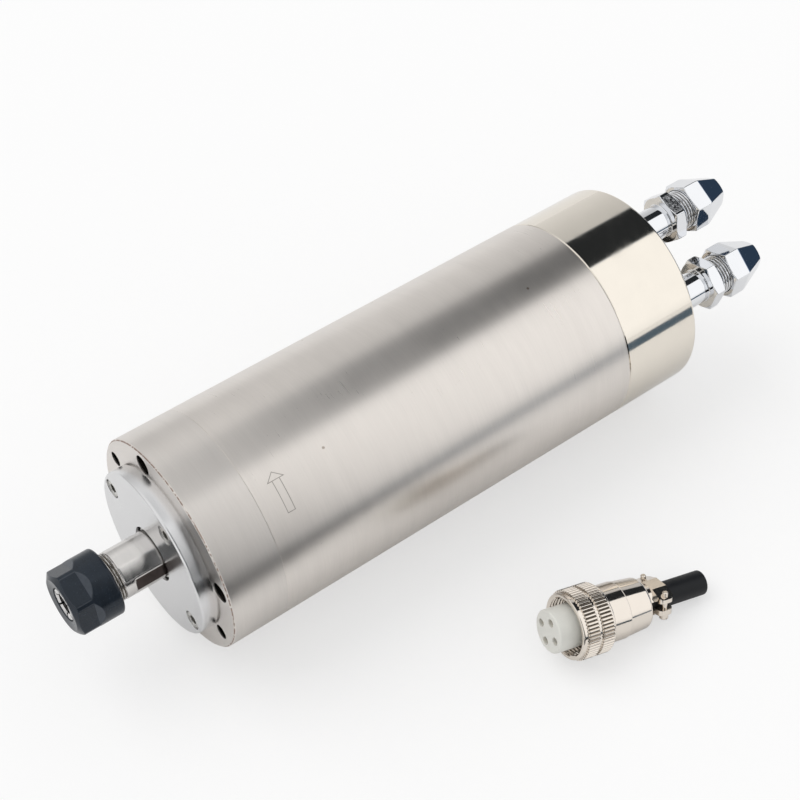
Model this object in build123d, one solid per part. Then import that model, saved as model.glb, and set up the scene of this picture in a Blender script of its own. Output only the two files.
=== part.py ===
from build123d import *
import os
from math import atan2, cos, degrees, radians, sin, sqrt, tan

# Water-cooled motor spindle, a 62 mm cylinder 160 mm long, with a collet chuck on its nose, two hose
# fittings and a power socket on its tail, and the loose cable plug that fits the socket.
#
# Frame: millimetres. +X runs along the spindle's axis from the nose to the tail, and +Z is up with the
# spindle lying on its side. The origin is on the axis, half way along the sleeve that a clamp holds.
# A "station" is a distance along the axis, counted from the front face of the housing towards the tail.
# An angle around the axis is counted from +Y towards +Z.

# ---------------------------------------------------------------- fits
slip = 0.03              # radial clearance of a located, pressed or bolted fit
running = 0.05           # radial clearance of a fit that turns or slides
thread_gap = 0.12        # radial clearance between a nut and its plain screw
seat_gap = 0.1           # axial clearance at a seat that moves

# ---------------------------------------------------------------- housing
housing_radius = 31.0
nose_length = 16.7       # front bearing housing, as seen
sleeve_length = 117.8    # ground sleeve between the two ends
cap_length = 25.5        # polished rear cap
sleeve_wall = 2.0
jacket_wall = 4.5
rim_chamfer = 0.5
seam_chamfer = 0.25
nose_seam_chamfer = 0.08

# ---------------------------------------------------------------- front cover
cover_radius = 24.0
cover_thickness = 5.0
cover_round = 0.7
cover_neck = 0.6         # depth and width of the groove at the cover's base
cover_bore = 8.0
cover_screw_circle = 20.2
cover_screw_angles = (28.0, 118.0, 208.0, 298.0)
cover_pilot_depth = 2.0

# ---------------------------------------------------------------- front face of the housing
face_hole_inset = 4.3         # from the outside to the middle of a hole
face_screw_angles = (74.0, 164.0, 254.0, 344.0)
face_counterbore_depth = 6.5
fixture_hole_angles = (28.0, 208.0)
fixture_hole_radius = 2.15
fixture_hole_depth = 10.0

# ---------------------------------------------------------------- screws, M3 socket heads
screw_head_radius = 2.7
screw_head_height = 3.0
screw_shank_radius = 1.45
screw_key_width = 2.5
screw_key_depth = 1.6
screw_length = 10.0
long_screw_length = 18.0
cap_screw_length = 27.0
counterbore_gap = 0.15

# ---------------------------------------------------------------- shaft
shaft_nose_station = -26.9
shaft_nose_radius = 6.9
shaft_seat_radius = 7.5      # front bearing journal, its end shows inside the cover
shaft_shoulder_radius = 9.5
shaft_core_radius = 9.0      # seat of the rotor core
shaft_rear_step_radius = 7.6
shaft_tail_radius = 6.0      # rear bearing journal
flats_width = 13.0
flats_length = 9.6
flats_front_station = -13.6
flats_angle = 175.0
tool_clearance_radius = 3.6
tool_clearance_depth = 34.0

# ---------------------------------------------------------------- collet and nut
collet_length = 18.0
collet_cone_radius = 5.75
collet_cone_station = -26.9  # where the collet is widest, level with the end of the shaft
collet_taper = 8.0           # half angle of the long taper, degrees
collet_front_angle = 30.0    # half angle of the short front taper, degrees
collet_collar_radius = 4.65
collet_collar_length = 1.2
collet_groove_radius = 4.15
collet_groove_length = 1.0
collet_slots = 6
collet_slot_width = 0.5
collet_slot_share = 0.8      # of the collet's length
collet_slot_angle = 15.0
tool_radius = 3.0
nut_radius = 9.5
nut_face_station = -31.9
nut_length = 13.2
nut_face_radius = 7.6
nut_chamfer_length = 1.2
nut_width = 17.0             # across its flats
nut_flat_length = 5.6
nut_flat_runout = 1.3
nut_corner_angle = 83.5
nut_opening = 4.85
nut_lip = 4.4
nut_round = 0.7
nut_pitch = 0.75

# ---------------------------------------------------------------- bearings
front_bore, front_outside, front_width, front_balls = 15.0, 32.0, 9.0, 11
rear_bore, rear_outside, rear_width, rear_balls = 12.0, 28.0, 8.0, 10
ball_radius = 2.38
ball_gap = 0.08              # between a ball and its grooves or its pocket
race_land = 1.45             # from the ball circle to the land of a ring
cage_thickness = 1.5
thrower_radius = 10.0
thrower_width = 1.6

# ---------------------------------------------------------------- motor
core_start = 45.0
core_rear_gap = 15.0          # from the core to the rear plate, room for the end turns
stator_bore = 14.5
rotor_gap = 0.35
slot_count = 18
slot_width = 2.6
slot_depth = 5.5
slot_neck_depth = 1.4
slot_neck_width = 1.0
slot_liner = 0.15
winding_overhang = 11.5
winding_inner = 15.8
winding_outer = 22.3
bar_count = 14
bar_radius = 1.15
bar_circle = 12.2
end_ring_length = 4.0
end_ring_inner = 10.4

# ---------------------------------------------------------------- water jacket
channel_count = 10
channel_width = 9.5
channel_depth = 2.4
channel_start = 31.5
channel_end_gap = 7.0        # from the last channel to the jacket's rear end
link_length = 7.0
oring_radius = 0.85
oring_groove_width = 2.2
oring_offset = 4.2           # from a channel to the middle of the groove
port_radius = 2.4

# ---------------------------------------------------------------- rear bearing housing and cap
tail_plate_length = 24.5      # inside the sleeve
tail_flange = 7.0
rear_bearing_inset = 20.5     # from the sleeve's rear end to the front of the bearing
spring_height = 2.4
spring_wall = 0.35
locknut_radius = 9.3
locknut_width = 5.0
cap_wall = 3.0
cap_floor = 5.0
cap_round = 0.8
cap_screw_inset = 5.4         # from the outside to the middle of a screw
cap_screw_angles = (5.0, 125.0, 245.0)
boss_wall = 1.6

# ---------------------------------------------------------------- water fittings
fitting_circle = 20.0
fitting_angles = {"inlet": 91.8, "outlet": 158.3}
fitting_hex_turn = {"inlet": 13.8, "outlet": 44.1}
fitting_nut_turn = {"inlet": 27.2, "outlet": 38.1}
stem_radius = 5.0
stem_length = 11.5           # from the cap to the hexagon
fitting_boss_depth = 7.0
hex_width = 14.0
hex_length = 3.9
hex_chamfer = 0.5
neck_radius = 5.9
neck_length = 4.1            # between the hexagon and the nut
neck_thread_length = 4.5     # inside the nut
hose_spigot_radius = 1.95
hose_spigot_length = 7.8
fitting_bore = 1.3
nut_hex_length = 5.5
nut_taper_length = 6.6
nut_tip_radius = 4.8
nut_tip_length = 1.5
hose_radius = 3.1
hose_nut_wall = 1.3
seal_width = 1.8
seal_thickness = 1.0
tube_radius = 2.9
tube_wall = 0.6
tube_seat = 3.0

# ---------------------------------------------------------------- power socket and plug
socket_circle = 12.0
socket_angle = 305.0
socket_radius = 7.85
socket_reach = 9.5           # past the cap
socket_wall = 1.7
socket_flange_width = 1.55
socket_flange_length = 2.4
socket_relief = (0.2, 0.7, 0.35)   # thread relief: from the nut, width and depth
socket_nut_wall = 1.65        # from the barrel to the nut's flats
socket_nut_length = 3.0
socket_body_depth = 5.0      # insulating body behind the cap's floor
contact_circle = 3.5
contact_count = 4
pin_radius = 0.75
pin_reach = 7.0
lead_radius = 0.8
lead_circle = 19.0

plug_face_x, plug_face_y = -5.0, -72.1   # middle of the plug's face on the surface
plug_heading = -10.2         # degrees around +Z
plug_roll = -2.4             # degrees around its own axis
plug_fit = 0.1               # between the plug's insulator and the socket
insulator_length = 21.0
contact_bore = 1.15
ring_start = 5.2
ring_length = 10.5
ring_wall = 1.95             # over the socket's barrel
ring_lip_length = 1.5
ring_groove = (5.0, 1.0)     # from the front of the ring, and width
ring_tail_length = 0.9
ring_neck = 0.6              # depth of the ring's lip, groove and tail
ring_thread_length = 6.7
shell_over = 0.15            # how much the shell is larger than the socket's barrel
shell_length = 13.5
shell_step_length = 5.6
shell_step = 0.15
shell_narrowing = 0.9        # from the front of the shell to its rear
shell_wall = 0.9
barrel_wall = 0.45
sleeve_radius = 3.5
cable_bore = 2.6
cable_sleeve_end = 50.2
clamp_length = 7.2           # behind the shell
clamp_width = 4.6            # of the fork's head and of the saddle, along the plug
clamp_wall = 1.0
clamp_turn = 72.0            # direction that the fork's roof faces, around the plug
fork_heights = (1.7, 2.9, 4.5)   # over the axis: underside, outer edge and roof
fork_roof_width = 4.4
saddle_heights = (0.5, 2.1)  # under the axis: upper side and underside of the ears
ear_reach = 6.4
ear_round = 1.6
clamp_screw_offset = 5.0
clamp_screw_radius = 0.8
clamp_screw_tip = 4.6        # over the axis
clamp_head_radius = 1.25
clamp_head_height = 1.7
clamp_slot = (0.45, 0.7)     # width and depth of the slot in the head

# ---------------------------------------------------------------- worked out from the values above
front_x = -(nose_length + sleeve_length / 2)
sleeve_bore = housing_radius - sleeve_wall
jacket_bore = sleeve_bore - jacket_wall
sleeve_end = nose_length + sleeve_length
tail_face = sleeve_end + cap_length
cap_inside = tail_face - cap_floor
jacket_end = sleeve_end - tail_flange
channel_end = jacket_end - channel_end_gap
tail_plate_start = sleeve_end - tail_plate_length
rear_bearing_station = sleeve_end - rear_bearing_inset
core_end = tail_plate_start - core_rear_gap
core_length = core_end - core_start
floor_z = -housing_radius
face_hole_circle = housing_radius - face_hole_inset
cap_screw_circle = housing_radius - cap_screw_inset
socket_flange_radius = socket_radius + socket_flange_width
socket_nut_width = 2 * (socket_radius + socket_nut_wall)
insulator_radius = socket_radius - socket_wall - plug_fit
ring_radius = socket_radius + ring_wall
shell_radius = socket_radius + shell_over
shell_tail_radius = shell_radius - shell_narrowing
collet_front = (
    collet_cone_station
    - (collet_cone_radius - collet_collar_radius + 0.2) / tan(radians(collet_front_angle))
    - collet_collar_length
    - collet_groove_length
)


def at(station):
    """X coordinate of a station."""
    return front_x + station


def turned(points, rounds=None):
    """Solid of revolution about the spindle's axis from (station, radius) corners, some rounded."""
    face = make_face(Polyline(*[(at(s), r) for s, r in points], close=True))
    for (station, radius), size in (rounds or {}).items():
        corner = face.vertices().sort_by_distance((at(station), radius, 0))[0]
        face = fillet(corner, size)
    return revolve(face, Axis.X)


def rod(start, end, radius, bore=0.0):
    """Plain round bar or tube on the axis between two stations."""
    return turned([(start, bore), (end, bore), (end, radius), (start, radius)])


def hexagon(start, end, width, turn=0.0):
    """Hexagonal bar on the axis; a corner points along the turn angle."""
    outline = Plane.YZ * Rot(0, 0, turn) * RegularPolygon(width / 2, 6, major_radius=False)
    return Pos(at(start), 0, 0) * extrude(outline, end - start)


def around(shape, angle):
    """Turn a shape about the spindle's axis."""
    return Rot(angle, 0, 0) * shape


def offset(shape, radius, angle):
    """Move a shape off the axis without turning it."""
    return Pos(0, radius * cos(radians(angle)), radius * sin(radians(angle))) * shape


def ring_of(shape, radius, angles):
    """Copies of a shape on a circle about the axis."""
    return [offset(shape, radius, angle) for angle in angles]


def even_angles(count, first=0.0):
    """Equal steps around a circle."""
    return [first + 360.0 * index / count for index in range(count)]


def save(name, *shapes):
    """Write one node. Solids that are separate pieces stay separate in it."""
    pieces = [solid for shape in shapes for solid in shape.solids()]
    node = pieces[0] if len(pieces) == 1 else Compound(children=pieces)
    export_step(node, f"parts/{name}.step")


# ---------------------------------------------------------------- fasteners
def cap_screw(head_station, length):
    """Socket-head screw on the axis, its head's top at a station and its shank towards the tail."""
    under_head = head_station + screw_head_height
    body = turned(
        [
            (head_station, 0),
            (head_station, screw_head_radius - 0.3),
            (head_station + 0.3, screw_head_radius),
            (under_head, screw_head_radius),
            (under_head, screw_shank_radius),
            (under_head + length, screw_shank_radius),
            (under_head + length, 0),
        ]
    )
    return body - hexagon(head_station - 1, head_station + screw_key_depth, screw_key_width)


def screw_hole(face_station, counterbore, through):
    """Counterbored clearance hole from a face, on the axis, for cap_screw."""
    hole = rod(face_station - 1, face_station + counterbore, screw_head_radius + counterbore_gap)
    return hole + rod(face_station - 1, through, screw_shank_radius + counterbore_gap)


def tapped_hole(start, depth, radius=screw_shank_radius + slip):
    """Blind hole with a drill point, from a station towards the tail."""
    end = start + depth
    return turned([(start - 0.5, 0), (start - 0.5, radius), (end, radius), (end + radius / 2, 0)])


def reversed_at(shape, station):
    """Mirror a shape end for end about a station."""
    return Pos(at(station), 0, 0) * Rot(0, 0, 180) * Pos(-at(station), 0, 0) * shape


# ---------------------------------------------------------------- housing pieces
cover_counterbore = screw_head_height + 0.3
cover_head_station = -cover_thickness + 0.3
face_head_station = face_counterbore_depth - screw_head_height
front_bearing_end = cover_pilot_depth + 2 * front_width
nose_spigot_end = front_bearing_end + 3.0


def make_front_bearing_housing():
    """Nose of the housing: bearing bore, spigot for the jacket, screw and fixture holes."""
    outside = front_outside / 2
    body = turned(
        [
            (0, outside + slip),
            (0, housing_radius - rim_chamfer),
            (rim_chamfer, housing_radius),
            (nose_length - nose_seam_chamfer, housing_radius),
            (nose_length, housing_radius - nose_seam_chamfer),
            (nose_length, jacket_bore - slip),
            (nose_spigot_end - 0.5, jacket_bore - slip),
            (nose_spigot_end, jacket_bore - slip - 0.5),
            (nose_spigot_end, outside - 2.4),
            (front_bearing_end, outside - 2.4),
            (front_bearing_end, outside + slip),
        ]
    )
    holes = ring_of(tapped_hole(0, screw_length - 1), cover_screw_circle, cover_screw_angles)
    screw = screw_hole(0, face_counterbore_depth, nose_length + 1)
    fixture = tapped_hole(0, fixture_hole_depth, fixture_hole_radius)
    holes += ring_of(screw, face_hole_circle, face_screw_angles)
    holes += ring_of(fixture, face_hole_circle, fixture_hole_angles)
    return body - holes


def make_front_cover():
    """Round cover that holds the front bearings, with its pilot in their bore."""
    pilot = front_outside / 2 - slip
    pocket = thrower_radius + 0.6
    body = turned(
        [
            (-cover_thickness, cover_bore),
            (-cover_thickness, cover_radius),
            (-cover_neck, cover_radius),
            (-cover_neck, cover_radius - cover_neck),
            (0, cover_radius - cover_neck),
            (0, pilot),
            (cover_pilot_depth - seat_gap, pilot),
            (cover_pilot_depth - seat_gap, pocket),
            (-0.8, pocket),
            (-0.8, cover_bore),
        ],
        rounds={(-cover_thickness, cover_radius): cover_round, (-cover_thickness, cover_bore): 0.3},
    )
    hole = screw_hole(-cover_thickness, cover_counterbore, 1)
    return body - ring_of(hole, cover_screw_circle, cover_screw_angles)


def make_outer_sleeve():
    """Ground outer tube."""
    return turned(
        [
            (nose_length, sleeve_bore),
            (nose_length, housing_radius - nose_seam_chamfer),
            (nose_length + nose_seam_chamfer, housing_radius),
            (sleeve_end - seam_chamfer, housing_radius),
            (sleeve_end, housing_radius - seam_chamfer),
            (sleeve_end, sleeve_bore),
        ]
    )


def channel_angles():
    """Middles of the jacket's channels, from the outlet round the long way to the inlet."""
    first = fitting_angles["outlet"]
    span = 360.0 - (fitting_angles["outlet"] - fitting_angles["inlet"])
    return [first + span * index / (channel_count - 1) for index in range(channel_count)]


def make_water_jacket():
    """Inner tube with one zigzag water channel, seal grooves, ports and the nose screws' holes."""
    outside = sleeve_bore - slip
    bottom = outside - channel_depth
    seal_bottom = sleeve_bore - 2 * oring_radius - 2 * slip
    angles = channel_angles()
    pitch = angles[1] - angles[0]
    length = channel_end - channel_start
    body = rod(nose_length, jacket_end, outside, jacket_bore)
    slot = Pos(at(channel_start + length / 2), bottom + 5, 0) * Box(length, 10, channel_width)
    cuts = [around(slot, angle) for angle in angles]
    for index, angle in enumerate(angles[:-1]):
        start = channel_start if index % 2 == 0 else channel_end - link_length
        section = Pos(at(start + link_length / 2), bottom + 3) * Rectangle(link_length, 6)
        cuts.append(around(revolve(section, Axis.X, revolution_arc=pitch), angle))
    for middle in (channel_start - oring_offset, channel_end + oring_offset):
        half_width = oring_groove_width / 2
        cuts.append(rod(middle - half_width, middle + half_width, outside + 1, seal_bottom))
    port = Pos(at(port_station), jacket_bore, 0) * Rot(90, 0, 0) * Cylinder(port_radius, 2 * jacket_wall)
    cuts += [around(port, angle) for angle in fitting_angles.values()]
    hole = tapped_hole(nose_length, face_counterbore_depth + long_screw_length - nose_length + 0.5)
    cuts += ring_of(hole, face_hole_circle, face_screw_angles)
    return body - cuts


def make_orings():
    """Two rubber rings that seal the jacket in the sleeve."""
    middle = sleeve_bore - oring_radius - slip / 2
    rings = []
    for station in (channel_start - oring_offset, channel_end + oring_offset):
        rings.append(Pos(at(station), 0, 0) * Rot(0, 90, 0) * Torus(middle, oring_radius))
    return rings


port_station = channel_end - link_length / 2
tail_bore_end = rear_bearing_station + rear_width + spring_height + seat_gap


def make_rear_bearing_housing():
    """Plate that closes the motor, carries the rear bearing and leads the water to the jacket."""
    plate = jacket_bore - slip
    outside = rear_outside / 2
    body = turned(
        [
            (tail_plate_start, outside + running),
            (tail_plate_start, plate - 0.5),
            (tail_plate_start + 0.5, plate),
            (jacket_end, plate),
            (jacket_end, sleeve_bore - slip),
            (sleeve_end, sleeve_bore - slip),
            (sleeve_end, locknut_radius + 1),
            (tail_bore_end, locknut_radius + 1),
            (tail_bore_end, outside + running),
        ]
    )
    cuts = []
    for angle in fitting_angles.values():
        drilled = rod(port_station - port_radius, sleeve_end + 1, port_radius)
        seat = rod(sleeve_end - tube_seat - 0.2, sleeve_end + 1, tube_radius + slip)
        cuts += [offset(drilled + seat, fitting_circle, angle)]
        cross_length = plate + 1 - fitting_circle
        cross = Pos(at(port_station), fitting_circle + cross_length / 2, 0) * Rot(90, 0, 0)
        cuts.append(around(cross * Cylinder(port_radius, cross_length), angle))
    lead_hole = rod(tail_plate_start - 1, sleeve_end + 1, 3 * lead_radius + 0.6)
    cuts.append(offset(lead_hole, lead_circle, socket_angle))
    tapped = reversed_at(tapped_hole(sleeve_end, tail_flange - 1.5), sleeve_end)
    cuts += ring_of(tapped, cap_screw_circle, cap_screw_angles)
    return body - cuts


def make_rear_cap():
    """Polished cup on the tail, with bosses for its screws and for the water fittings."""
    inside = housing_radius - cap_wall
    body = turned(
        [
            (sleeve_end, inside),
            (sleeve_end, housing_radius - seam_chamfer),
            (sleeve_end + seam_chamfer, housing_radius),
            (tail_face, housing_radius),
            (tail_face, 0),
            (cap_inside, 0),
            (cap_inside, inside),
        ],
        rounds={(tail_face, housing_radius): cap_round, (cap_inside, inside): 1.5},
    )
    screw_boss = rod(sleeve_end, cap_inside + 1, screw_shank_radius + counterbore_gap + boss_wall)
    body += ring_of(screw_boss, cap_screw_circle, cap_screw_angles)
    fitting_boss = rod(cap_inside - fitting_boss_depth, cap_inside + 1, stem_radius + 2 * boss_wall)
    body += ring_of(fitting_boss, fitting_circle, fitting_angles.values())
    body &= rod(sleeve_end, tail_face, housing_radius)
    hole = reversed_at(screw_hole(tail_face, cover_counterbore, tail_face + cap_length), tail_face)
    cuts = ring_of(hole, cap_screw_circle, cap_screw_angles)
    stem_hole = rod(cap_inside - fitting_boss_depth - 1, tail_face + 1, stem_radius + slip)
    cuts += ring_of(stem_hole, fitting_circle, fitting_angles.values())
    cuts.append(offset(rod(cap_inside - 1, tail_face + 1, socket_radius + slip), socket_circle, socket_angle))
    return body - cuts


# ---------------------------------------------------------------- motor
def make_stator_core():
    """Laminated ring with slots that open to the bore through narrow necks."""
    core = rod(core_start, core_end, jacket_bore - slip, stator_bore)
    middle = at((core_start + core_end) / 2)
    inner = stator_bore + slot_neck_depth
    outer = inner + slot_depth
    straight = outer - slot_width / 2
    slot = Pos(middle, (inner + straight) / 2, 0) * Box(core_length, straight - inner, slot_width)
    slot += Pos(middle, straight, 0) * Rot(0, 90, 0) * Cylinder(slot_width / 2, core_length)
    neck = Pos(middle, stator_bore + slot_neck_depth / 2, 0)
    slot += neck * Box(core_length, slot_neck_depth + 2, slot_neck_width)
    return core - [around(slot, angle) for angle in even_angles(slot_count)]


def make_stator_windings():
    """Copper winding: a rounded end turn at each end of the core, joined through the slots."""
    width = slot_width - 2 * slot_liner
    inner = stator_bore + slot_neck_depth + slot_liner
    outer = stator_bore + slot_neck_depth + slot_depth - slot_width / 2
    middle = at((core_start + core_end) / 2)
    bar = Pos(middle, (inner + outer) / 2, 0) * Box(core_length + 4, outer - inner, width)
    winding = None
    for start in (core_start - winding_overhang, core_end + slot_liner):
        end = start + winding_overhang - slot_liner
        corners = [(start, winding_inner), (end, winding_inner), (end, winding_outer), (start, winding_outer)]
        far = start if start < core_start else end
        rounds = {(far, winding_outer): 2.5, (far, winding_inner): 2.5}
        turn = turned(corners, rounds)
        winding = turn if winding is None else winding + turn
    return winding + [around(bar, angle) for angle in even_angles(slot_count)]


def make_rotor_core():
    """Laminated rotor body with closed slots for the cage."""
    core = rod(core_start, core_end, stator_bore - rotor_gap, shaft_core_radius + slip)
    hole = rod(core_start - 1, core_end + 1, bar_radius + slip)
    return core - ring_of(hole, bar_circle, even_angles(bar_count))


def make_rotor_cage():
    """Squirrel cage: two end rings and the bars between them."""
    outside = stator_bore - rotor_gap
    cage = rod(core_start - end_ring_length, core_start, outside, end_ring_inner)
    cage += rod(core_end, core_end + end_ring_length, outside, end_ring_inner)
    bar = rod(core_start - 1, core_end + 1, bar_radius)
    return cage + ring_of(bar, bar_circle, even_angles(bar_count))


def make_shaft():
    """Spindle shaft: collet socket and thread land on the nose, journals, core seat and tail."""
    taper_end = collet_front + collet_length + 0.6
    taper_radius = collet_cone_radius + slip - (taper_end - collet_cone_station) * tan(radians(collet_taper))
    bore_end = shaft_nose_station + tool_clearance_depth
    shaft = turned(
        [
            (shaft_nose_station, collet_cone_radius + slip),
            (shaft_nose_station, shaft_nose_radius - 0.4),
            (shaft_nose_station + 0.4, shaft_nose_radius),
            (flats_front_station + flats_length, shaft_nose_radius),
            (flats_front_station + flats_length, shaft_seat_radius),
            (front_bearing_end, shaft_seat_radius),
            (front_bearing_end, shaft_shoulder_radius),
            (core_start, shaft_shoulder_radius),
            (core_start, shaft_core_radius),
            (core_end + end_ring_length + 1, shaft_core_radius),
            (core_end + end_ring_length + 1, shaft_rear_step_radius),
            (rear_bearing_station, shaft_rear_step_radius),
            (rear_bearing_station, shaft_tail_radius),
            (tail_bore_end + locknut_width - 0.5, shaft_tail_radius),
            (tail_bore_end + locknut_width, shaft_tail_radius - 0.5),
            (tail_bore_end + locknut_width, 0),
            (bore_end + tool_clearance_radius / 2, 0),
            (bore_end, tool_clearance_radius),
            (taper_end, tool_clearance_radius),
            (taper_end, taper_radius),
        ]
    )
    middle = at(flats_front_station + flats_length / 2)
    for angle in (flats_angle, flats_angle + 180):
        flat = Pos(middle, flats_width / 2 + 5, 0) * Box(flats_length, 10, 4 * shaft_nose_radius)
        shaft -= around(flat, angle)
    return shaft


def make_front_thrower():
    """Ring pressed on the shaft behind the cover, against the first bearing."""
    start = cover_pilot_depth - seat_gap - thrower_width
    return rod(start, start + thrower_width, thrower_radius, shaft_seat_radius + slip / 2)


def make_locknut():
    """Round nut with four key slots that holds the rear bearing on the shaft."""
    start = rear_bearing_station + rear_width
    nut = rod(start, tail_bore_end + locknut_width - 1, locknut_radius, shaft_tail_radius + slip / 2)
    nut -= rod(start - 1, start + spring_height + 0.4, locknut_radius + 2, locknut_radius - 1.2)
    slot = Pos(at(tail_bore_end + locknut_width - 2), locknut_radius, 0) * Box(2.4, 2.4, 2.6)
    return nut - [around(slot, angle) for angle in even_angles(4, 45)]


# ---------------------------------------------------------------- bearings
def ball_circle(bore, outside):
    """Radius of the circle of ball centres."""
    return (bore + outside) / 4


def make_race(station, width, bore, outside, outer, relieved=0):
    """One grooved ring of a bearing; relieved is the side, -1 or 1, with the cut-down shoulder."""
    circle = ball_circle(bore, outside)
    low, high = (circle + race_land, outside / 2) if outer else (bore / 2 + slip / 2, circle - race_land)
    middle = at(station + width / 2)
    section = Pos(middle, (low + high) / 2) * Rectangle(width, high - low)
    section = chamfer(section.vertices(), 0.35)
    section -= Pos(middle, circle) * Circle(ball_radius + ball_gap)
    if relieved:
        section -= Pos(middle + relieved * width / 4, low) * Rectangle(width / 2, 1.2)
    return revolve(section, Axis.X)


def make_cage(station, width, bore, outside, balls):
    """Cage ring with a round pocket for each ball."""
    circle = ball_circle(bore, outside)
    middle = station + width / 2
    half = ball_radius + 0.75
    cage = rod(middle - half, middle + half, circle + cage_thickness / 2, circle - cage_thickness / 2)
    pocket = Pos(at(middle), 0, 0) * Sphere(ball_radius + ball_gap)
    return cage - ring_of(pocket, circle, even_angles(balls))


def make_balls(station, width, bore, outside, balls):
    """Ball row of one bearing."""
    ball = Pos(at(station + width / 2), 0, 0) * Sphere(ball_radius)
    return ring_of(ball, ball_circle(bore, outside), even_angles(balls))


front_stations = [cover_pilot_depth, cover_pilot_depth + front_width]
front_size = (front_bore, front_outside)
rear_size = (rear_bore, rear_outside)


def make_preload_spring():
    """Thin dished ring that pushes the rear bearing's outer ring towards the nose."""
    start = rear_bearing_station + rear_width
    outer = rear_outside / 2 - 0.4
    inner = outer - 2.2
    end = start + spring_height
    return turned(
        [
            (start + seat_gap, outer),
            (end, inner),
            (end, inner + 2 * spring_wall),
            (start + seat_gap + spring_wall, outer),
        ]
    )


# ---------------------------------------------------------------- collet and nut
def make_collet():
    """Spring collet: long taper, short front taper, catch groove and saw cuts from both ends."""
    end = collet_front + collet_length
    groove_start = collet_front + collet_collar_length
    groove_end = groove_start + collet_groove_length
    cone_start = collet_cone_radius - (collet_cone_station - groove_end) * tan(radians(collet_front_angle))
    end_radius = collet_cone_radius - (end - collet_cone_station) * tan(radians(collet_taper))
    body = turned(
        [
            (collet_front, tool_radius + 0.4),
            (collet_front, collet_collar_radius - 0.2),
            (collet_front + 0.2, collet_collar_radius),
            (groove_start, collet_collar_radius),
            (groove_start, collet_groove_radius),
            (groove_end, collet_groove_radius),
            (groove_end, cone_start),
            (collet_cone_station, collet_cone_radius),
            (end, end_radius),
            (end, tool_radius),
            (collet_front + 0.4, tool_radius),
        ]
    )
    cut_length = collet_length * collet_slot_share
    cut = Pos(0, 5, 0) * Box(cut_length, 10, collet_slot_width)
    step = 360.0 / collet_slots
    for angle in even_angles(collet_slots, collet_slot_angle):
        body -= around(Pos(at(collet_front + cut_length / 2) - 0.01, 0, 0) * cut, angle)
        body -= around(Pos(at(end - cut_length / 2) + 0.01, 0, 0) * cut, angle + step / 2)
    return body


def make_collet_nut():
    """Clamping nut: round skirt, six flats with sloping ends, front chamfer, catch lip and taper."""
    end = nut_face_station + nut_length
    slope = tan(radians(collet_front_angle))
    lip_start = collet_front + collet_collar_length + 0.12
    lip_end = collet_front + collet_collar_length + collet_groove_length - 0.25
    cone_radius = collet_cone_radius + seat_gap
    cone_start = cone_radius - (collet_cone_station - lip_end) * slope
    bore = shaft_nose_radius + thread_gap
    thread_start = collet_cone_station - 0.3
    body = turned(
        [
            (nut_face_station, nut_opening),
            (nut_face_station, nut_face_radius),
            (nut_face_station + nut_chamfer_length, nut_radius),
            (end, nut_radius),
            (end, bore + 0.4),
            (end - 0.4, bore),
            (thread_start, bore),
            (thread_start, cone_radius),
            (collet_cone_station, cone_radius),
            (lip_end, cone_start),
            (lip_end, nut_lip),
            (lip_start, nut_lip),
            (lip_start, nut_opening),
        ],
        rounds={(end, nut_radius): nut_round},
    )
    flat = nut_width / 2
    flat_end = nut_face_station + nut_flat_length
    slope_end = flat_end + nut_flat_runout
    outline = make_face(
        Polyline(
            (at(nut_face_station) - 1, flat),
            (at(flat_end), flat),
            (at(slope_end), nut_radius),
            (at(slope_end) + nut_flat_runout, nut_radius + 1),
            (at(nut_face_station) - 1, nut_radius + 1),
            close=True,
        )
    )
    milled = extrude(outline, nut_radius, both=True)
    return body - [around(milled, nut_corner_angle + 30 + angle) for angle in even_angles(6)]


# ---------------------------------------------------------------- water fittings
stem_end = tail_face + stem_length
hex_end = stem_end + hex_length
hose_nut_start = hex_end + neck_length
hose_nut_bore = neck_radius + thread_gap


def make_fitting_body(name):
    """Hose fitting: stem through the cap, hexagon, threaded neck and hose spigot."""
    start = cap_inside - fitting_boss_depth
    thread_end = hose_nut_start + neck_thread_length
    spigot_end = hose_nut_start + hose_spigot_length
    body = turned(
        [
            (start, fitting_bore),
            (start, stem_radius - 0.5),
            (start + 0.5, stem_radius),
            (stem_end + 0.5, stem_radius),
            (stem_end + 0.5, neck_radius),
            (thread_end - 0.5, neck_radius),
            (thread_end, neck_radius - 0.5),
            (thread_end, hose_spigot_radius),
            (spigot_end - 0.4, hose_spigot_radius),
            (spigot_end, hose_spigot_radius - 0.3),
            (spigot_end, fitting_bore),
        ]
    )
    corner = hex_width / sqrt(3)
    collar = hexagon(stem_end, hex_end, hex_width, fitting_hex_turn[name])
    collar &= turned(
        [
            (stem_end, 0),
            (stem_end, hex_width / 2),
            (stem_end + hex_chamfer, corner + 0.05),
            (hex_end - hex_chamfer, corner + 0.05),
            (hex_end, hex_width / 2),
            (hex_end, 0),
        ]
    )
    body += collar - rod(stem_end - 1, hex_end + 1, (fitting_bore + stem_radius) / 2)
    body -= rod(start - 1, start + tube_seat, tube_radius + slip)
    return offset(body, fitting_circle, fitting_angles[name])


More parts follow.
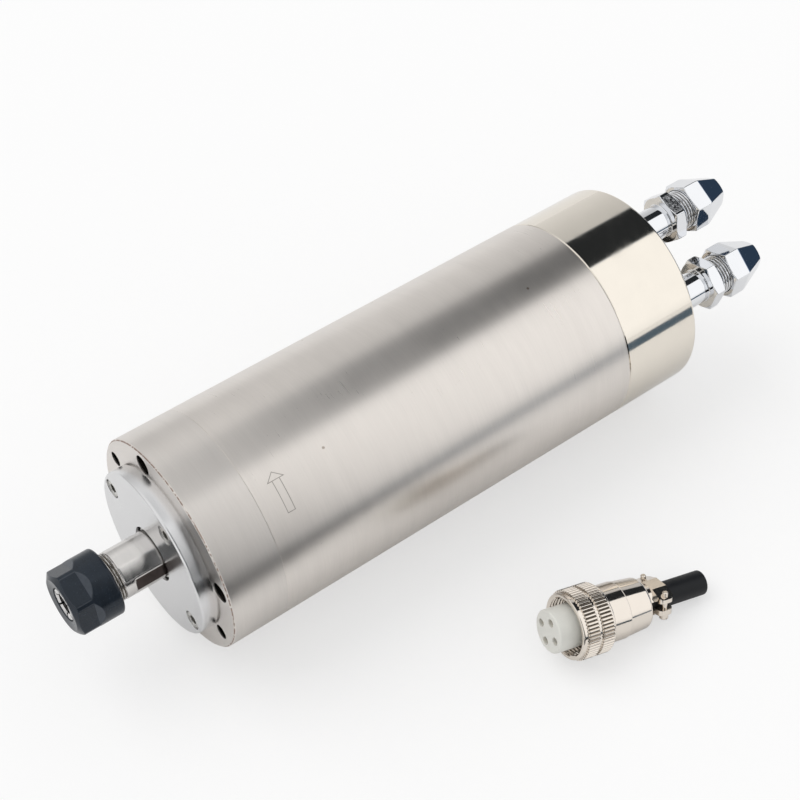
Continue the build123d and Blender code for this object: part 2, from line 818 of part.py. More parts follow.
def make_hose_nut(name):
    """Dome nut: hexagon that tapers, still six sided, to a rounded end with the hose hole."""
    turn = fitting_nut_turn[name]
    prism_end = hose_nut_start + nut_hex_length
    taper_end = prism_end + nut_taper_length
    tip = taper_end + nut_tip_length
    corner = hex_width / sqrt(3)
    base = Plane.YZ * Rot(0, 0, turn) * RegularPolygon(hex_width / 2, 6, major_radius=False)
    small = Plane.YZ * Rot(0, 0, turn) * RegularPolygon(nut_tip_radius * 0.97, 6, major_radius=False)
    prism = Pos(at(hose_nut_start), 0, 0) * extrude(base, nut_hex_length)
    taper = loft([Pos(at(prism_end), 0, 0) * base, Pos(at(taper_end), 0, 0) * small])
    body = prism + taper
    envelope = turned(
        [
            (hose_nut_start, 0),
            (hose_nut_start, hex_width / 2),
            (hose_nut_start + hex_chamfer, corner + 0.05),
            (prism_end, corner + 0.05),
            (taper_end, nut_tip_radius * 1.1),
            (taper_end, 0),
        ]
    )
    body &= envelope
    tip_radius = nut_tip_radius - 0.1
    body += turned(
        [(taper_end - 0.6, 0), (taper_end - 0.6, tip_radius), (tip, tip_radius), (tip, 0)],
        rounds={(tip, tip_radius): 1.1},
    )
    bore_end = hose_nut_start + neck_thread_length + 1
    seat_end = bore_end + (hose_nut_bore - hose_radius) / 1.2
    body -= turned(
        [
            (hose_nut_start - 1, 0),
            (hose_nut_start - 1, hose_nut_bore),
            (bore_end, hose_nut_bore),
            (seat_end, hose_radius),
            (tip + 1, hose_radius),
            (tip + 1, 0),
        ]
    )
    return offset(body, fitting_circle, fitting_angles[name])


def make_port_seals():
    """Flat ring under each fitting's stem, in the cap's mouth."""
    ring = rod(tail_face, tail_face + seal_thickness, stem_radius + seal_width, stem_radius + slip)
    return ring_of(ring, fitting_circle, fitting_angles.values())


def make_water_tubes():
    """Short tubes that carry the water from the stems to the rear bearing housing."""
    start = sleeve_end - tube_seat
    end = cap_inside - fitting_boss_depth + tube_seat - 0.2
    tube = rod(start, end, tube_radius, tube_radius - tube_wall)
    return ring_of(tube, fitting_circle, fitting_angles.values())


# ---------------------------------------------------------------- power socket
socket_end = tail_face + socket_reach
socket_body_start = cap_inside - socket_body_depth
socket_face = tail_face + 2.5


def make_socket_shell():
    """Threaded barrel through the cap, with a rear flange, a relief by the nut and a key groove."""
    flange_start = cap_inside - socket_flange_length
    relief_start = tail_face + socket_nut_length + socket_relief[0]
    relief_end = relief_start + socket_relief[1]
    relief_radius = socket_radius - socket_relief[2]
    shell = turned(
        [
            (flange_start, socket_radius - socket_wall),
            (flange_start, socket_flange_radius),
            (cap_inside, socket_flange_radius),
            (cap_inside, socket_radius),
            (relief_start, socket_radius),
            (relief_start, relief_radius),
            (relief_end, relief_radius),
            (relief_end, socket_radius),
            (socket_end - 0.4, socket_radius),
            (socket_end, socket_radius - 0.4),
            (socket_end, socket_radius - socket_wall),
        ]
    )
    key = Pos(at(socket_end), socket_radius, 0) * Box(5, 2 * socket_wall + 0.6, 1.8)
    return offset(shell - around(key, socket_angle + 180), socket_circle, socket_angle)


def make_socket_nut():
    """Thin hexagon nut that clamps the socket to the cap."""
    nut = hexagon(tail_face, tail_face + socket_nut_length, socket_nut_width, socket_angle)
    nut &= turned(
        [
            (tail_face, 0),
            (tail_face, socket_nut_width / sqrt(3)),
            (tail_face + socket_nut_length - 0.6, socket_nut_width / sqrt(3)),
            (tail_face + socket_nut_length, socket_nut_width / 2),
            (tail_face + socket_nut_length, 0),
        ]
    )
    nut -= rod(tail_face - 1, tail_face + socket_nut_length + 1, socket_radius + thread_gap)
    return offset(nut, socket_circle, socket_angle)


def make_socket_insulator():
    """Insulating disc that holds the pins."""
    disc = rod(socket_body_start, socket_face, socket_radius - socket_wall - slip)
    pin = rod(socket_body_start - 1, socket_face + 1, pin_radius + slip)
    disc -= ring_of(pin, contact_circle, even_angles(contact_count))
    return offset(disc, socket_circle, socket_angle)


def make_socket_pins():
    """Contact pins with domed tips and wide solder tails."""
    pin = turned(
        [
            (socket_body_start - 3, 0),
            (socket_body_start - 3, pin_radius + 0.3),
            (socket_body_start - 0.1, pin_radius + 0.3),
            (socket_body_start - 0.1, pin_radius),
            (socket_face + pin_reach - 1.2, pin_radius),
            (socket_face + pin_reach - 1.2, 0),
        ]
    )
    pin += Pos(at(socket_face + pin_reach - 1.2), 0, 0) * Sphere(pin_radius)
    return ring_of(offset(pin, socket_circle, socket_angle), contact_circle, even_angles(contact_count))


def make_motor_leads():
    """Three insulated wires from the rear end turn through the plate to the pins' tails."""
    start = core_end + winding_overhang + seat_gap
    plate_exit = sleeve_end + 1.5
    tails = socket_body_start - 3.1
    leads = []
    for step, pin_angle in enumerate(even_angles(contact_count)[:3]):
        fan = radians(socket_angle)
        across = (step - 1) * (2 * lead_radius + 0.15)
        y_pin = contact_circle * cos(radians(pin_angle)) + socket_circle * cos(fan)
        z_pin = contact_circle * sin(radians(pin_angle)) + socket_circle * sin(fan)
        y_out = lead_circle * cos(fan) - across * sin(fan)
        z_out = lead_circle * sin(fan) + across * cos(fan)
        route = FilletPolyline(
            (at(start), y_out, z_out),
            (at(plate_exit), y_out, z_out),
            (at(tails - 3), y_pin, z_pin),
            (at(tails), y_pin, z_pin),
            radius=1.6,
        )
        section = Plane(origin=(at(start), y_out, z_out), z_dir=(1, 0, 0)) * Circle(lead_radius)
        leads.append(sweep(section, path=route))
    return leads


# ---------------------------------------------------------------- cable plug, lying beside the spindle
ring_end = ring_start + ring_length
ring_shoulder = ring_start + ring_thread_length
ring_floor_line = ring_end - ring_tail_length
barrel_radius = insulator_radius + slip + barrel_wall
shell_start = ring_end + seat_gap
shell_end = shell_start + shell_length
clamp_end = shell_end + clamp_length
clamp_start = clamp_end - clamp_width
sleeve_floor_line = cable_sleeve_end - 0.4
plug_tilt = degrees(atan2(ring_radius - sleeve_radius, sleeve_floor_line - ring_floor_line))
plug_face_z = floor_z + ring_radius * cos(radians(plug_tilt)) + ring_floor_line * sin(radians(plug_tilt))
plug_turn = Rot(0, 0, plug_heading) * Rot(0, plug_tilt, 0) * Rot(plug_roll, 0, 0)
plug_location = Pos(plug_face_x, plug_face_y, plug_face_z) * plug_turn


def on_plug(*shapes):
    """Move shapes built on the spindle's axis to the plug, whose station 0 is its front face."""
    return [plug_location * Pos(-at(0), 0, 0) * shape for shape in shapes]


def make_plug_insulator():
    """Insulating body with the four contact holes."""
    body = turned(
        [(0, 0), (0, insulator_radius), (insulator_length, insulator_radius), (insulator_length, 0)],
        rounds={(0, insulator_radius): 0.6},
    )
    hole = rod(-1, insulator_length + 1, contact_bore)
    return body - ring_of(hole, contact_circle, even_angles(contact_count))


def make_plug_contacts():
    """Four socket contacts, open at the front, with solder cups behind the insulator."""
    radius = contact_bore - slip
    contact = rod(1.5, insulator_length + 4.5, radius)
    contact -= rod(1, 1.5 + pin_reach, pin_radius + running)
    contact -= rod(insulator_length + 2, insulator_length + 5, radius - 0.3)
    return ring_of(contact, contact_circle, even_angles(contact_count))


def make_plug_barrel():
    """Metal tube around the insulator, with the collar that pulls the coupling ring along."""
    collar_start = ring_shoulder - seat_gap - 1.8
    barrel = rod(collar_start, shell_start + shell_step_length, barrel_radius, insulator_radius + slip)
    return barrel + rod(collar_start, ring_shoulder - seat_gap, socket_radius - 0.2, insulator_radius + slip)


def make_coupling_ring():
    """Turning ring: smooth lip, two raised finger bands with a groove between, and its thread bore."""
    neck = ring_radius - ring_neck
    groove_start = ring_start + ring_groove[0]
    groove_end = groove_start + ring_groove[1]
    bore = socket_radius + thread_gap
    return turned(
        [
            (ring_start, bore + 0.3),
            (ring_start, neck - 0.4),
            (ring_start + 0.4, neck),
            (ring_start + ring_lip_length, neck),
            (ring_start + ring_lip_length, ring_radius - 0.2),
            (ring_start + ring_lip_length + 0.2, ring_radius),
            (groove_start, ring_radius),
            (groove_start, neck),
            (groove_end, neck),
            (groove_end, ring_radius),
            (ring_floor_line - 0.2, ring_radius),
            (ring_floor_line, ring_radius - 0.2),
            (ring_floor_line, neck),
            (ring_end - 0.5, neck),
            (ring_end, neck - 0.5),
            (ring_end, barrel_radius + running),
            (ring_shoulder, barrel_radius + running),
            (ring_shoulder, bore),
            (ring_start + 0.3, bore),
        ]
    )


def clamp_prism(corners):
    """Prism along the plug, mirrored from side to side, from (across, height) corners."""
    near = [(height, across) for across, height in corners]
    far = [(height, -across) for across, height in reversed(corners)]
    section = Plane.YZ * Polygon(*near, *far, align=None)
    prism = Pos(at(clamp_start), 0, 0) * extrude(section, clamp_width, dir=(1, 0, 0))
    ends = [edge for edge in prism.edges().filter_by(Axis.Y) if abs(edge.center().Z) > ear_reach - 0.1]
    return fillet(ends, ear_round)


def clamp_back(start, height, side):
    """Curved back of a strap that begins a height from the axis; side is 1 over it."""
    depth = 2 * (sleeve_radius + clamp_wall)
    length = clamp_end - start
    keep = Pos(at(start + length / 2), side * (height + depth / 2), 0) * Box(length, depth, 2 * depth)
    return rod(start, clamp_end, sleeve_radius + clamp_wall) & keep


def clamp_channel():
    """Room for the sleeve."""
    return rod(shell_end - 1, clamp_end + 1, sleeve_radius + slip)


def clamp_holes():
    """Two holes for the clamp's screws."""
    hole = Pos(at(clamp_start + clamp_width / 2), 0, 0) * Rot(90, 0, 0)
    hole *= Cylinder(clamp_screw_radius + slip, 20)
    return Pos(0, 0, clamp_screw_offset) * hole + Pos(0, 0, -clamp_screw_offset) * hole


def clamp_fork():
    """Fixed part of the clamp, before its channel: a back with a roofed head across its end."""
    underside, edge, roof = fork_heights
    head = clamp_prism([(ear_reach, underside), (ear_reach, edge), (fork_roof_width / 2, roof)])
    return head + clamp_back(shell_end - 0.5, underside, 1) - clamp_holes()


def make_plug_shell():
    """Back shell: cylinder, shallow step, taper, and the fork of the cable clamp."""
    step_end = shell_start + shell_step_length
    back_wall = shell_end - 1.2
    taper_start = shell_radius - shell_step
    body = turned(
        [
            (shell_start, barrel_radius + slip),
            (shell_start, shell_radius - 0.2),
            (shell_start + 0.2, shell_radius),
            (step_end, shell_radius),
            (step_end + 0.3, taper_start),
            (shell_end, shell_tail_radius),
            (shell_end, sleeve_radius + slip),
            (back_wall, sleeve_radius + slip),
            (back_wall, shell_tail_radius - shell_wall),
            (step_end + 0.8, shell_tail_radius - shell_wall),
            (step_end + 0.1, barrel_radius + slip),
        ],
        rounds={(shell_end, shell_tail_radius): 1.0},
    )
    return body + around(clamp_fork(), clamp_turn) - clamp_channel()


def make_clamp_saddle():
    """Loose strap of the cable clamp, with an ear each side."""
    upper, lower = saddle_heights
    ears = clamp_prism([(ear_reach, -lower), (ear_reach, -upper)])
    ears -= Pos(at(clamp_end), 0, 0) * Box(30, 30, 2 * (sleeve_radius + 0.4))
    saddle = ears + clamp_back(clamp_start, upper, -1) - clamp_channel() - clamp_holes()
    room = Rot(90, 0, 0) * Cylinder(clamp_head_radius + slip, 10)
    for way in (-1, 1):
        place = Pos(at(clamp_start + clamp_width / 2), -lower - 5, way * clamp_screw_offset)
        saddle -= place * room
    return around(saddle, clamp_turn)


def make_clamp_screws():
    """Two slotted screws that draw the saddle to the fork; their tips stand out of its roof."""
    seat = -saddle_heights[1] - 0.02
    upright = Rot(-90, 0, 0)
    head = Pos(0, seat - clamp_head_height / 2, 0) * upright * Cylinder(clamp_head_radius, clamp_head_height)
    head = fillet(head.edges().sort_by(Axis.Y)[0], 0.5)
    head -= Pos(0, seat - clamp_head_height, 0) * Box(clamp_slot[0], 2 * clamp_slot[1], 4 * clamp_head_radius)
    shank = Cylinder(clamp_screw_radius, clamp_screw_tip - seat + 0.1)
    shank = chamfer(shank.edges().sort_by(Axis.Z)[-1], 0.25)
    screw = head + Pos(0, (clamp_screw_tip + seat - 0.1) / 2, 0) * upright * shank
    middle = at(clamp_start + clamp_width / 2)
    screws = [Pos(middle, 0, way * clamp_screw_offset) * screw for way in (-1, 1)]
    return [around(screw, clamp_turn) for screw in screws]


def make_cable_sleeve():
    """Rubber sleeve that the cable leaves through."""
    start = shell_end - 2.5
    return turned(
        [
            (start, cable_bore),
            (start, sleeve_radius),
            (cable_sleeve_end, sleeve_radius),
            (cable_sleeve_end, cable_bore),
        ],
        rounds={(cable_sleeve_end, sleeve_radius): 0.4},
    )


# ---------------------------------------------------------------- the nodes
os.makedirs("parts", exist_ok=True)

save("front_bearing_housing", make_front_bearing_housing())
save("front_cover", make_front_cover())
save(
    "front_cover_screws",
    *ring_of(cap_screw(cover_head_station, screw_length - 2), cover_screw_circle, cover_screw_angles),
)
save(
    "front_housing_screws",
    *ring_of(cap_screw(face_head_station, long_screw_length), face_hole_circle, face_screw_angles),
)
save("outer_sleeve", make_outer_sleeve())
save("water_jacket", make_water_jacket())
save("jacket_o_rings", *make_orings())
save("stator_core", make_stator_core())
save("stator_windings", make_stator_windings())
save("motor_leads", *make_motor_leads())
save(
    "front_bearing_outer_rings",
    *[make_race(s, front_width, *front_size, True, relieved) for s, relieved in zip(front_stations, (-1, 1))],
)
save("rear_bearing_housing", make_rear_bearing_housing())
save("rear_bearing_outer_ring", make_race(rear_bearing_station, rear_width, *rear_size, True, -1))
save("preload_spring", make_preload_spring())
save("rear_cap", make_rear_cap())
save(
    "rear_cap_screws",
    *[
        offset(reversed_at(cap_screw(tail_face + 0.3, cap_screw_length), tail_face), cap_screw_circle, angle)
        for angle in cap_screw_angles
    ],
)
for fitting in fitting_angles:
    save(f"{fitting}_fitting", make_fitting_body(fitting))
    save(f"{fitting}_hose_nut", make_hose_nut(fitting))
save("port_seals", *make_port_seals())
save("water_tubes", *make_water_tubes())
save("socket_shell", make_socket_shell())
save("socket_nut", make_socket_nut())
save("socket_insulator", make_socket_insulator())
save("socket_pins", *make_socket_pins())

save("shaft", make_shaft())
save("front_thrower", make_front_thrower())
save("front_bearing_inner_rings", *[make_race(s, front_width, *front_size, False) for s in front_stations])
save("rotor_core", make_rotor_core())
save("rotor_cage", make_rotor_cage())
save("rear_bearing_inner_ring", make_race(rear_bearing_station, rear_width, *rear_size, False))
save("rear_locknut", make_locknut())
save("front_ball_cages", *[make_cage(s, front_width, *front_size, front_balls) for s in front_stations])
save(
    "front_balls",
    *[ball for s in front_stations for ball in make_balls(s, front_width, *front_size, front_balls)],
)
save("rear_ball_cage", make_cage(rear_bearing_station, rear_width, *rear_size, rear_balls))
save("rear_balls", *make_balls(rear_bearing_station, rear_width, *rear_size, rear_balls))
save("collet", make_collet())
save("collet_nut", make_collet_nut())

save("plug_insulator", *on_plug(make_plug_insulator()))
save("plug_contacts", *on_plug(*make_plug_contacts()))
save("plug_barrel", *on_plug(make_plug_barrel()))
save("coupling_ring", *on_plug(make_coupling_ring()))
save("plug_shell", *on_plug(make_plug_shell()))
save("cable_clamp_saddle", *on_plug(make_clamp_saddle()))
save("cable_clamp_screws", *on_plug(*make_clamp_screws()))
save("cable_sleeve", *on_plug(make_cable_sleeve()))
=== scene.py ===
"""Fine shapes and finishes of a water-cooled motor spindle and of the cable plug lying beside it.

Every size is in millimetres, on the turning axis of the piece that it belongs to, and becomes
metres when a mesh or a shader is made. A station is a distance along the spindle's axis from the
front face of its housing towards the tail. An angle around the axis counts from +Y towards +Z.
"""
import logging
import math
from dataclasses import dataclass, field
from enum import Enum
from typing import Any, Iterable, Mapping, Optional, Sequence, Union

import bpy
import numpy as np
from mathutils import Matrix, Vector


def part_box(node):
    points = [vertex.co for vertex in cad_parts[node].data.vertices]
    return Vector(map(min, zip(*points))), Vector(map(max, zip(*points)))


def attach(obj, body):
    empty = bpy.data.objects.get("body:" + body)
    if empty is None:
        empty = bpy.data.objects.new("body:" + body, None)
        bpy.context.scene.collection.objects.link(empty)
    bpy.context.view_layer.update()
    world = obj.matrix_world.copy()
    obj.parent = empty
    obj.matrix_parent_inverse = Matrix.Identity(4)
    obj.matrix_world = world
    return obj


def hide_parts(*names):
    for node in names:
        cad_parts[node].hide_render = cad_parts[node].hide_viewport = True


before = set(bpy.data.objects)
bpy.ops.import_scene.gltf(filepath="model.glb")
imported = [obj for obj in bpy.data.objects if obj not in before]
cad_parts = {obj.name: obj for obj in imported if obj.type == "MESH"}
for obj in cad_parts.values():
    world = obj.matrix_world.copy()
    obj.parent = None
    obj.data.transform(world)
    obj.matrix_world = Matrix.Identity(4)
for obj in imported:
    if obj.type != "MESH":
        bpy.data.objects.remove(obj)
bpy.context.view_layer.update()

LOG = logging.getLogger("spindle")
MM = 0.001
FULL_TURN = 2.0 * math.pi
MASK = "mask"
SHARP_ANGLE = math.radians(38.0)
FILLET_SHARE = 0.49
LEAST_ARC_PARTS = 4
CORNER_ANGLES = 9
LEAST_ANGLE = 1e-4
LEAST_COSINE = 0.05
THREAD_FLANK = (0.1, 0.9)
UNIT_AXES = ((1.0, 0.0, 0.0), (0.0, 1.0, 0.0), (0.0, 0.0, 1.0))
WHITE = (1.0, 1.0, 1.0)

Pair = tuple[float, float]
Triple = tuple[float, float, float]
Number = Union[int, float, "Value"]
Look = tuple[Any, Any, Any, Optional["Value"]]


# ---------------------------------------------------------------- axes and places
@dataclass(frozen=True)
class Axle:
    """A turning axis: its origin in millimetres and three unit vectors across each other."""

    origin: Triple = (0.0, 0.0, 0.0)
    along: Triple = (1.0, 0.0, 0.0)
    side: Triple = (0.0, 1.0, 0.0)
    up: Triple = (0.0, 0.0, 1.0)

    def place(self, station: np.ndarray, radius: np.ndarray, angle: np.ndarray) -> np.ndarray:
        """Turn station, radius and angle into points in metres.

        Formula: origin + station * along + radius * (cos(angle) * side + sin(angle) * up).

        Args:
            station: Distance along the axis, in millimetres.
            radius: Distance from the axis, in millimetres.
            angle: Angle from side towards up, in radians.

        Returns:
            Points in metres, with the broadcast shape of the inputs and three columns.
        """
        station, radius, angle = np.broadcast_arrays(station, radius, angle)
        points = np.asarray(self.origin) + station[..., None] * np.asarray(self.along)
        points = points + (radius * np.cos(angle))[..., None] * np.asarray(self.side)
        points = points + (radius * np.sin(angle))[..., None] * np.asarray(self.up)
        return points * MM


def node_centre(node: str) -> np.ndarray:
    """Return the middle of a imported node's box, in millimetres."""
    low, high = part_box(node)
    return (np.array(low) + np.array(high)) / 2.0 / MM


def node_start(node: str) -> float:
    """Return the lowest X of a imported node, in millimetres."""
    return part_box(node)[0].x / MM


def node_end(node: str) -> float:
    """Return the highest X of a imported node, in millimetres."""
    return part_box(node)[1].x / MM


NOSE_X = node_start("front_bearing_housing")
SPINDLE = Axle(origin=(NOSE_X, 0.0, 0.0))


def plug_axle() -> Axle:
    """Find the plug's axis from the middles of its ring and of its cable sleeve.

    Returns:
        The axis, with its side level and its origin at the plug's front.
    """
    front = node_centre("coupling_ring")
    along = node_centre("cable_sleeve") - front
    along = along / np.linalg.norm(along)
    side = np.cross((0.0, 0.0, 1.0), along)
    side = side / np.linalg.norm(side)
    origin = front - CablePlug.ring_middle * along
    return Axle(tuple(origin), tuple(along), tuple(side), tuple(np.cross(along, side)))


# ---------------------------------------------------------------- surfaces
def blend_min(first: np.ndarray, second: np.ndarray, width: float) -> tuple[np.ndarray, np.ndarray]:
    """Take the smaller of two surfaces with a round edge where they meet.

    Formula: with h the share of the first, from 0 to 1 over the width, the result is the mix of the
    two by h less width * h * (1 - h). The edge mask 4 * h * (1 - h) is 1 on the edge itself.

    Args:
        first: One radius field.
        second: The other radius field.
        width: Width of the round, in millimetres.

    Returns:
        The joined radius and the edge mask.
    """
    share = np.clip(0.5 + 0.5 * (second - first) / width, 0.0, 1.0)
    joined = second + (first - second) * share - width * share * (1.0 - share)
    return joined, 4.0 * share * (1.0 - share)


def rounded_outline(corners: Sequence[Triple], step: float) -> np.ndarray:
    """Run round a closed polyline of (station, radius, fillet) corners with an arc at each fillet.

    Formula: an arc of radius f at a turn of t leaves each side at f * tan(t / 2) from its corner,
    and its points are evenly spaced in angle about a centre on the bisector.

    Args:
        corners: Corners in order, each with its fillet radius.
        step: Longest distance between points, in millimetres.

    Returns:
        Points as rows of station and radius.
    """
    points = np.array([corner[:2] for corner in corners], float)
    runs: list[np.ndarray] = []
    for index, (_, _, fillet) in enumerate(corners):
        here = points[index]
        if fillet <= 0.0:
            runs.append(here[None, :])
            continue
        before = points[index - 1] - here
        after = points[(index + 1) % len(points)] - here
        length_before, length_after = np.linalg.norm(before), np.linalg.norm(after)
        before, after = before / length_before, after / length_after
        turn = math.pi - math.acos(float(np.clip(before @ after, -1.0, 1.0)))
        reach = min(fillet * math.tan(turn / 2.0), FILLET_SHARE * length_before, FILLET_SHARE * length_after)
        radius = reach / math.tan(turn / 2.0)
        middle = here + (before + after) / np.linalg.norm(before + after) * math.hypot(radius, reach)
        first = here + before * reach - middle
        other = here + after * reach - middle
        parts = max(LEAST_ARC_PARTS, int(math.ceil(radius * turn / step)))
        share = np.linspace(0.0, 1.0, parts + 1)[:, None]
        arc = (np.sin((1 - share) * turn) * first + np.sin(share * turn) * other) / math.sin(turn)
        runs.append(middle + arc)
    dense: list[np.ndarray] = []
    for run, following in zip(runs, runs[1:] + runs[:1]):
        start, end = run[-1], following[0]
        parts = int(math.ceil(np.linalg.norm(end - start) / step))
        share = np.linspace(0.0, 1.0, parts + 1)[1:-1, None]
        dense += [run, start + (end - start) * share]
    return np.concatenate(dense)


def angle_grid(count: int, corners: Iterable[float] = (), spread: float = 0.06) -> np.ndarray:
    """Make angles around an axis, closer together near the corners of a piece.

    Args:
        count: Number of evenly spaced angles.
        corners: Angles of the corners, in radians.
        spread: Half width of the closer band at each corner, in radians.

    Returns:
        Sorted angles in radians, from 0 up to but not including a full turn.
    """
    even = np.linspace(0.0, FULL_TURN, count, endpoint=False)
    near = np.linspace(-1.0, 1.0, CORNER_ANGLES) ** 3 * spread
    extra = (np.asarray(list(corners))[:, None] + near).ravel()
    every = np.sort(np.mod(np.concatenate([even, extra]), FULL_TURN))
    apart = np.diff(every, append=every[0] + FULL_TURN) > LEAST_ANGLE
    return every[apart]


def flats_reach(angle: np.ndarray, middles: Iterable[float], distance: Union[float, np.ndarray],
                width: float) -> tuple[np.ndarray, np.ndarray]:
    """Give how far flats around an axis reach at each angle.

    Formula: a flat at distance d with its middle at angle m is d / cos(angle - m) from the axis, and
    the two nearest flats meet in a round edge.

    Args:
        angle: Angles in radians.
        middles: Angles of the flats' middles, in radians.
        distance: Distance of the flats from the axis, in millimetres: one, or one for each ring.
        width: Width of the round between two flats.

    Returns:
        The reach and the mask of the edges between flats.
    """
    turns = angle[None, :] - np.asarray(list(middles))[:, None]
    cosines = np.sort(np.cos(turns), axis=0)[::-1]
    nearest, second = 1.0 / np.maximum(cosines[:2], LEAST_COSINE)
    rows = np.asarray(distance, float).reshape(-1, 1)
    return blend_min(rows * nearest, rows * second, width)


def hexagon(corner_degrees: float, count: int) -> tuple[np.ndarray, np.ndarray]:
    """Lay out a hexagon around an axis.

    Args:
        corner_degrees: Angle of one corner.
        count: Number of evenly spaced angles.

    Returns:
        Angles of the flats' middles, and all angles, closer together near the corners, in radians.
    """
    middles = np.radians(corner_degrees + 30.0 + 60.0 * np.arange(6))
    return middles, angle_grid(count, middles + math.radians(30.0), spread=0.05)


def refine(outline: np.ndarray, span: Pair, step: float) -> np.ndarray:
    """Add points to the stretches of a closed outline that lie within a span of stations.

    Args:
        outline: Rows of station and radius.
        span: Lowest and highest station that get the finer step.
        step: Longest distance between points there.

    Returns:
        Rows of station and radius.
    """
    runs = []
    for start, end in zip(outline, np.roll(outline, -1, axis=0)):
        inside = max(start[0], end[0]) >= span[0] and min(start[0], end[0]) <= span[1]
        parts = max(1, int(math.ceil(np.linalg.norm(end - start) / step))) if inside else 1
        share = np.linspace(0.0, 1.0, parts, endpoint=False)[:, None]
        runs.append(start + (end - start) * share)
    return np.concatenate(runs)


def grid_piece(name: str, points: np.ndarray, mask: Optional[np.ndarray] = None) -> bpy.types.Object:
    """Make a closed mesh from a grid of points, rings first and around second.

    Neighbouring points of the grid make one quad, and the last ring joins the first. The faces are
    turned outwards by the sign of the volume that they enclose.

    Args:
        name: Name of the object.
        points: Array of rings, angles and three coordinates, in metres.
        mask: Per point, 1 on an edge with wear and painted highlight or in a valley with painted shade; kept
            as an attribute.

    Returns:
        The object, in the scene.
    """
    rings, around, _ = points.shape
    mask = np.zeros((rings, around)) if mask is None else np.broadcast_to(mask, (rings, around))
    ring, turn = np.arange(rings)[:, None], np.arange(around)
    following, after = (ring + 1) % rings * around, (turn + 1) % around
    ring = ring * around
    quads = np.stack([ring + turn, ring + after, following + after, following + turn], axis=-1).reshape(-1, 4)
    vertices = points.reshape(-1, 3)
    if signed_volume(vertices, quads) < 0.0:
        quads = quads[:, ::-1]
    mesh = bpy.data.meshes.new(name)
    mesh.from_pydata(vertices, [], quads.tolist())
    mesh.shade_smooth()
    mesh.set_sharp_from_angle(angle=SHARP_ANGLE)
    layer = mesh.attributes.new(MASK, "FLOAT", "POINT")
    layer.data.foreach_set("value", np.ravel(mask).astype(np.float32))
    mesh.update()
    piece = bpy.data.objects.new(name, mesh)
    bpy.context.scene.collection.objects.link(piece)
    return piece


def signed_volume(vertices: np.ndarray, quads: np.ndarray) -> float:
    """Add up the volume under each face.

    Args:
        vertices: Points of the mesh.
        quads: Four vertex numbers for each face.

    Returns:
        Six times the volume, positive where the faces point outwards.
    """
    first, second, third, fourth = np.moveaxis(vertices[quads], 1, 0)
    return float((first * (np.cross(second, third) + np.cross(third, fourth))).sum())


def triangle_wave(phase: np.ndarray) -> np.ndarray:
    """Return a wave from 0 to 1 and back with straight flanks, once for each whole phase."""
    return np.abs(2.0 * (phase - np.floor(phase)) - 1.0)


def ramp(values: np.ndarray, low: float, high: float) -> np.ndarray:
    """Rise smoothly from 0 at low to 1 at high, with a level start and end."""
    share = np.clip((np.asarray(values, float) - low) / (high - low), 0.0, 1.0)
    return share * share * (3.0 - 2.0 * share)


def thread_valley(station: np.ndarray, angle: np.ndarray, pitch: float) -> np.ndarray:
    """Run a helical valley round an axis.

    Formula: a triangle wave of station / pitch - turns, with its tops and floors made level.

    Args:
        station: Distance along the axis of each ring.
        angle: Angles in radians.
        pitch: Distance between turns.

    Returns:
        How deep the valley is at each ring and angle, from 0 to 1.
    """
    wave = triangle_wave(station[:, None] / pitch - angle / FULL_TURN)
    return ramp(wave, *THREAD_FLANK)


# ---------------------------------------------------------------- shader expressions
class Value:
    """A shader socket that takes part in Python expressions: each operator adds one Math node."""

    def __init__(self, tree: "Tree", socket: bpy.types.NodeSocket) -> None:
        """Keep the tree and the output socket."""
        self.tree = tree
        self.socket = socket

    def __add__(self, other: Number) -> "Value":
        """Return self + other."""
        return self.tree.math("ADD", self, other)

    __radd__ = __add__

    def __sub__(self, other: Number) -> "Value":
        """Return self - other."""
        return self.tree.math("SUBTRACT", self, other)

    def __rsub__(self, other: Number) -> "Value":
        """Return other - self."""
        return self.tree.math("SUBTRACT", other, self)

    def __mul__(self, other: Number) -> "Value":
        """Return self * other."""
        return self.tree.math("MULTIPLY", self, other)

    __rmul__ = __mul__

    def __truediv__(self, other: Number) -> "Value":
        """Return self / other."""
        return self.tree.math("DIVIDE", self, other)

    def __neg__(self) -> "Value":
        """Return -self."""
        return self.tree.math("MULTIPLY", self, -1.0)

    def __abs__(self) -> "Value":
        """Return the absolute value."""
        return self.tree.math("ABSOLUTE", self)

    def power(self, exponent: Number) -> "Value":
        """Return self raised to exponent."""
        return self.tree.math("POWER", self, exponent)

    def least(self, other: Number) -> "Value":
        """Return the smaller of the two."""
        return self.tree.math("MINIMUM", self, other)

    def most(self, other: Number) -> "Value":
        """Return the larger of the two."""
        return self.tree.math("MAXIMUM", self, other)

    def swing(self, amount: float) -> "Value":
        """Centre a noise on zero and scale it by an amount."""
        return (self - 0.5) * amount

    def rise(self, low: float, high: float) -> "Value":
        """Rise smoothly from one value to another.

        Args:
            low: Value up to which the result is 0.
            high: Value from which the result is 1.

        Returns:
            The risen value.
        """
        settings = {"interpolation_type": "SMOOTHSTEP", "clamp": True}
        inputs = {"Value": self, "From Min": low, "From Max": high}
        return self.tree.node("ShaderNodeMapRange", settings, inputs, "Result")

    def band(self, low: float, high: float, soft: float) -> "Value":
        """Return 1 between low and high and 0 outside, with edges that are soft wide."""
        return self.rise(low - soft, low + soft) * (1.0 - self.rise(high - soft, high + soft))


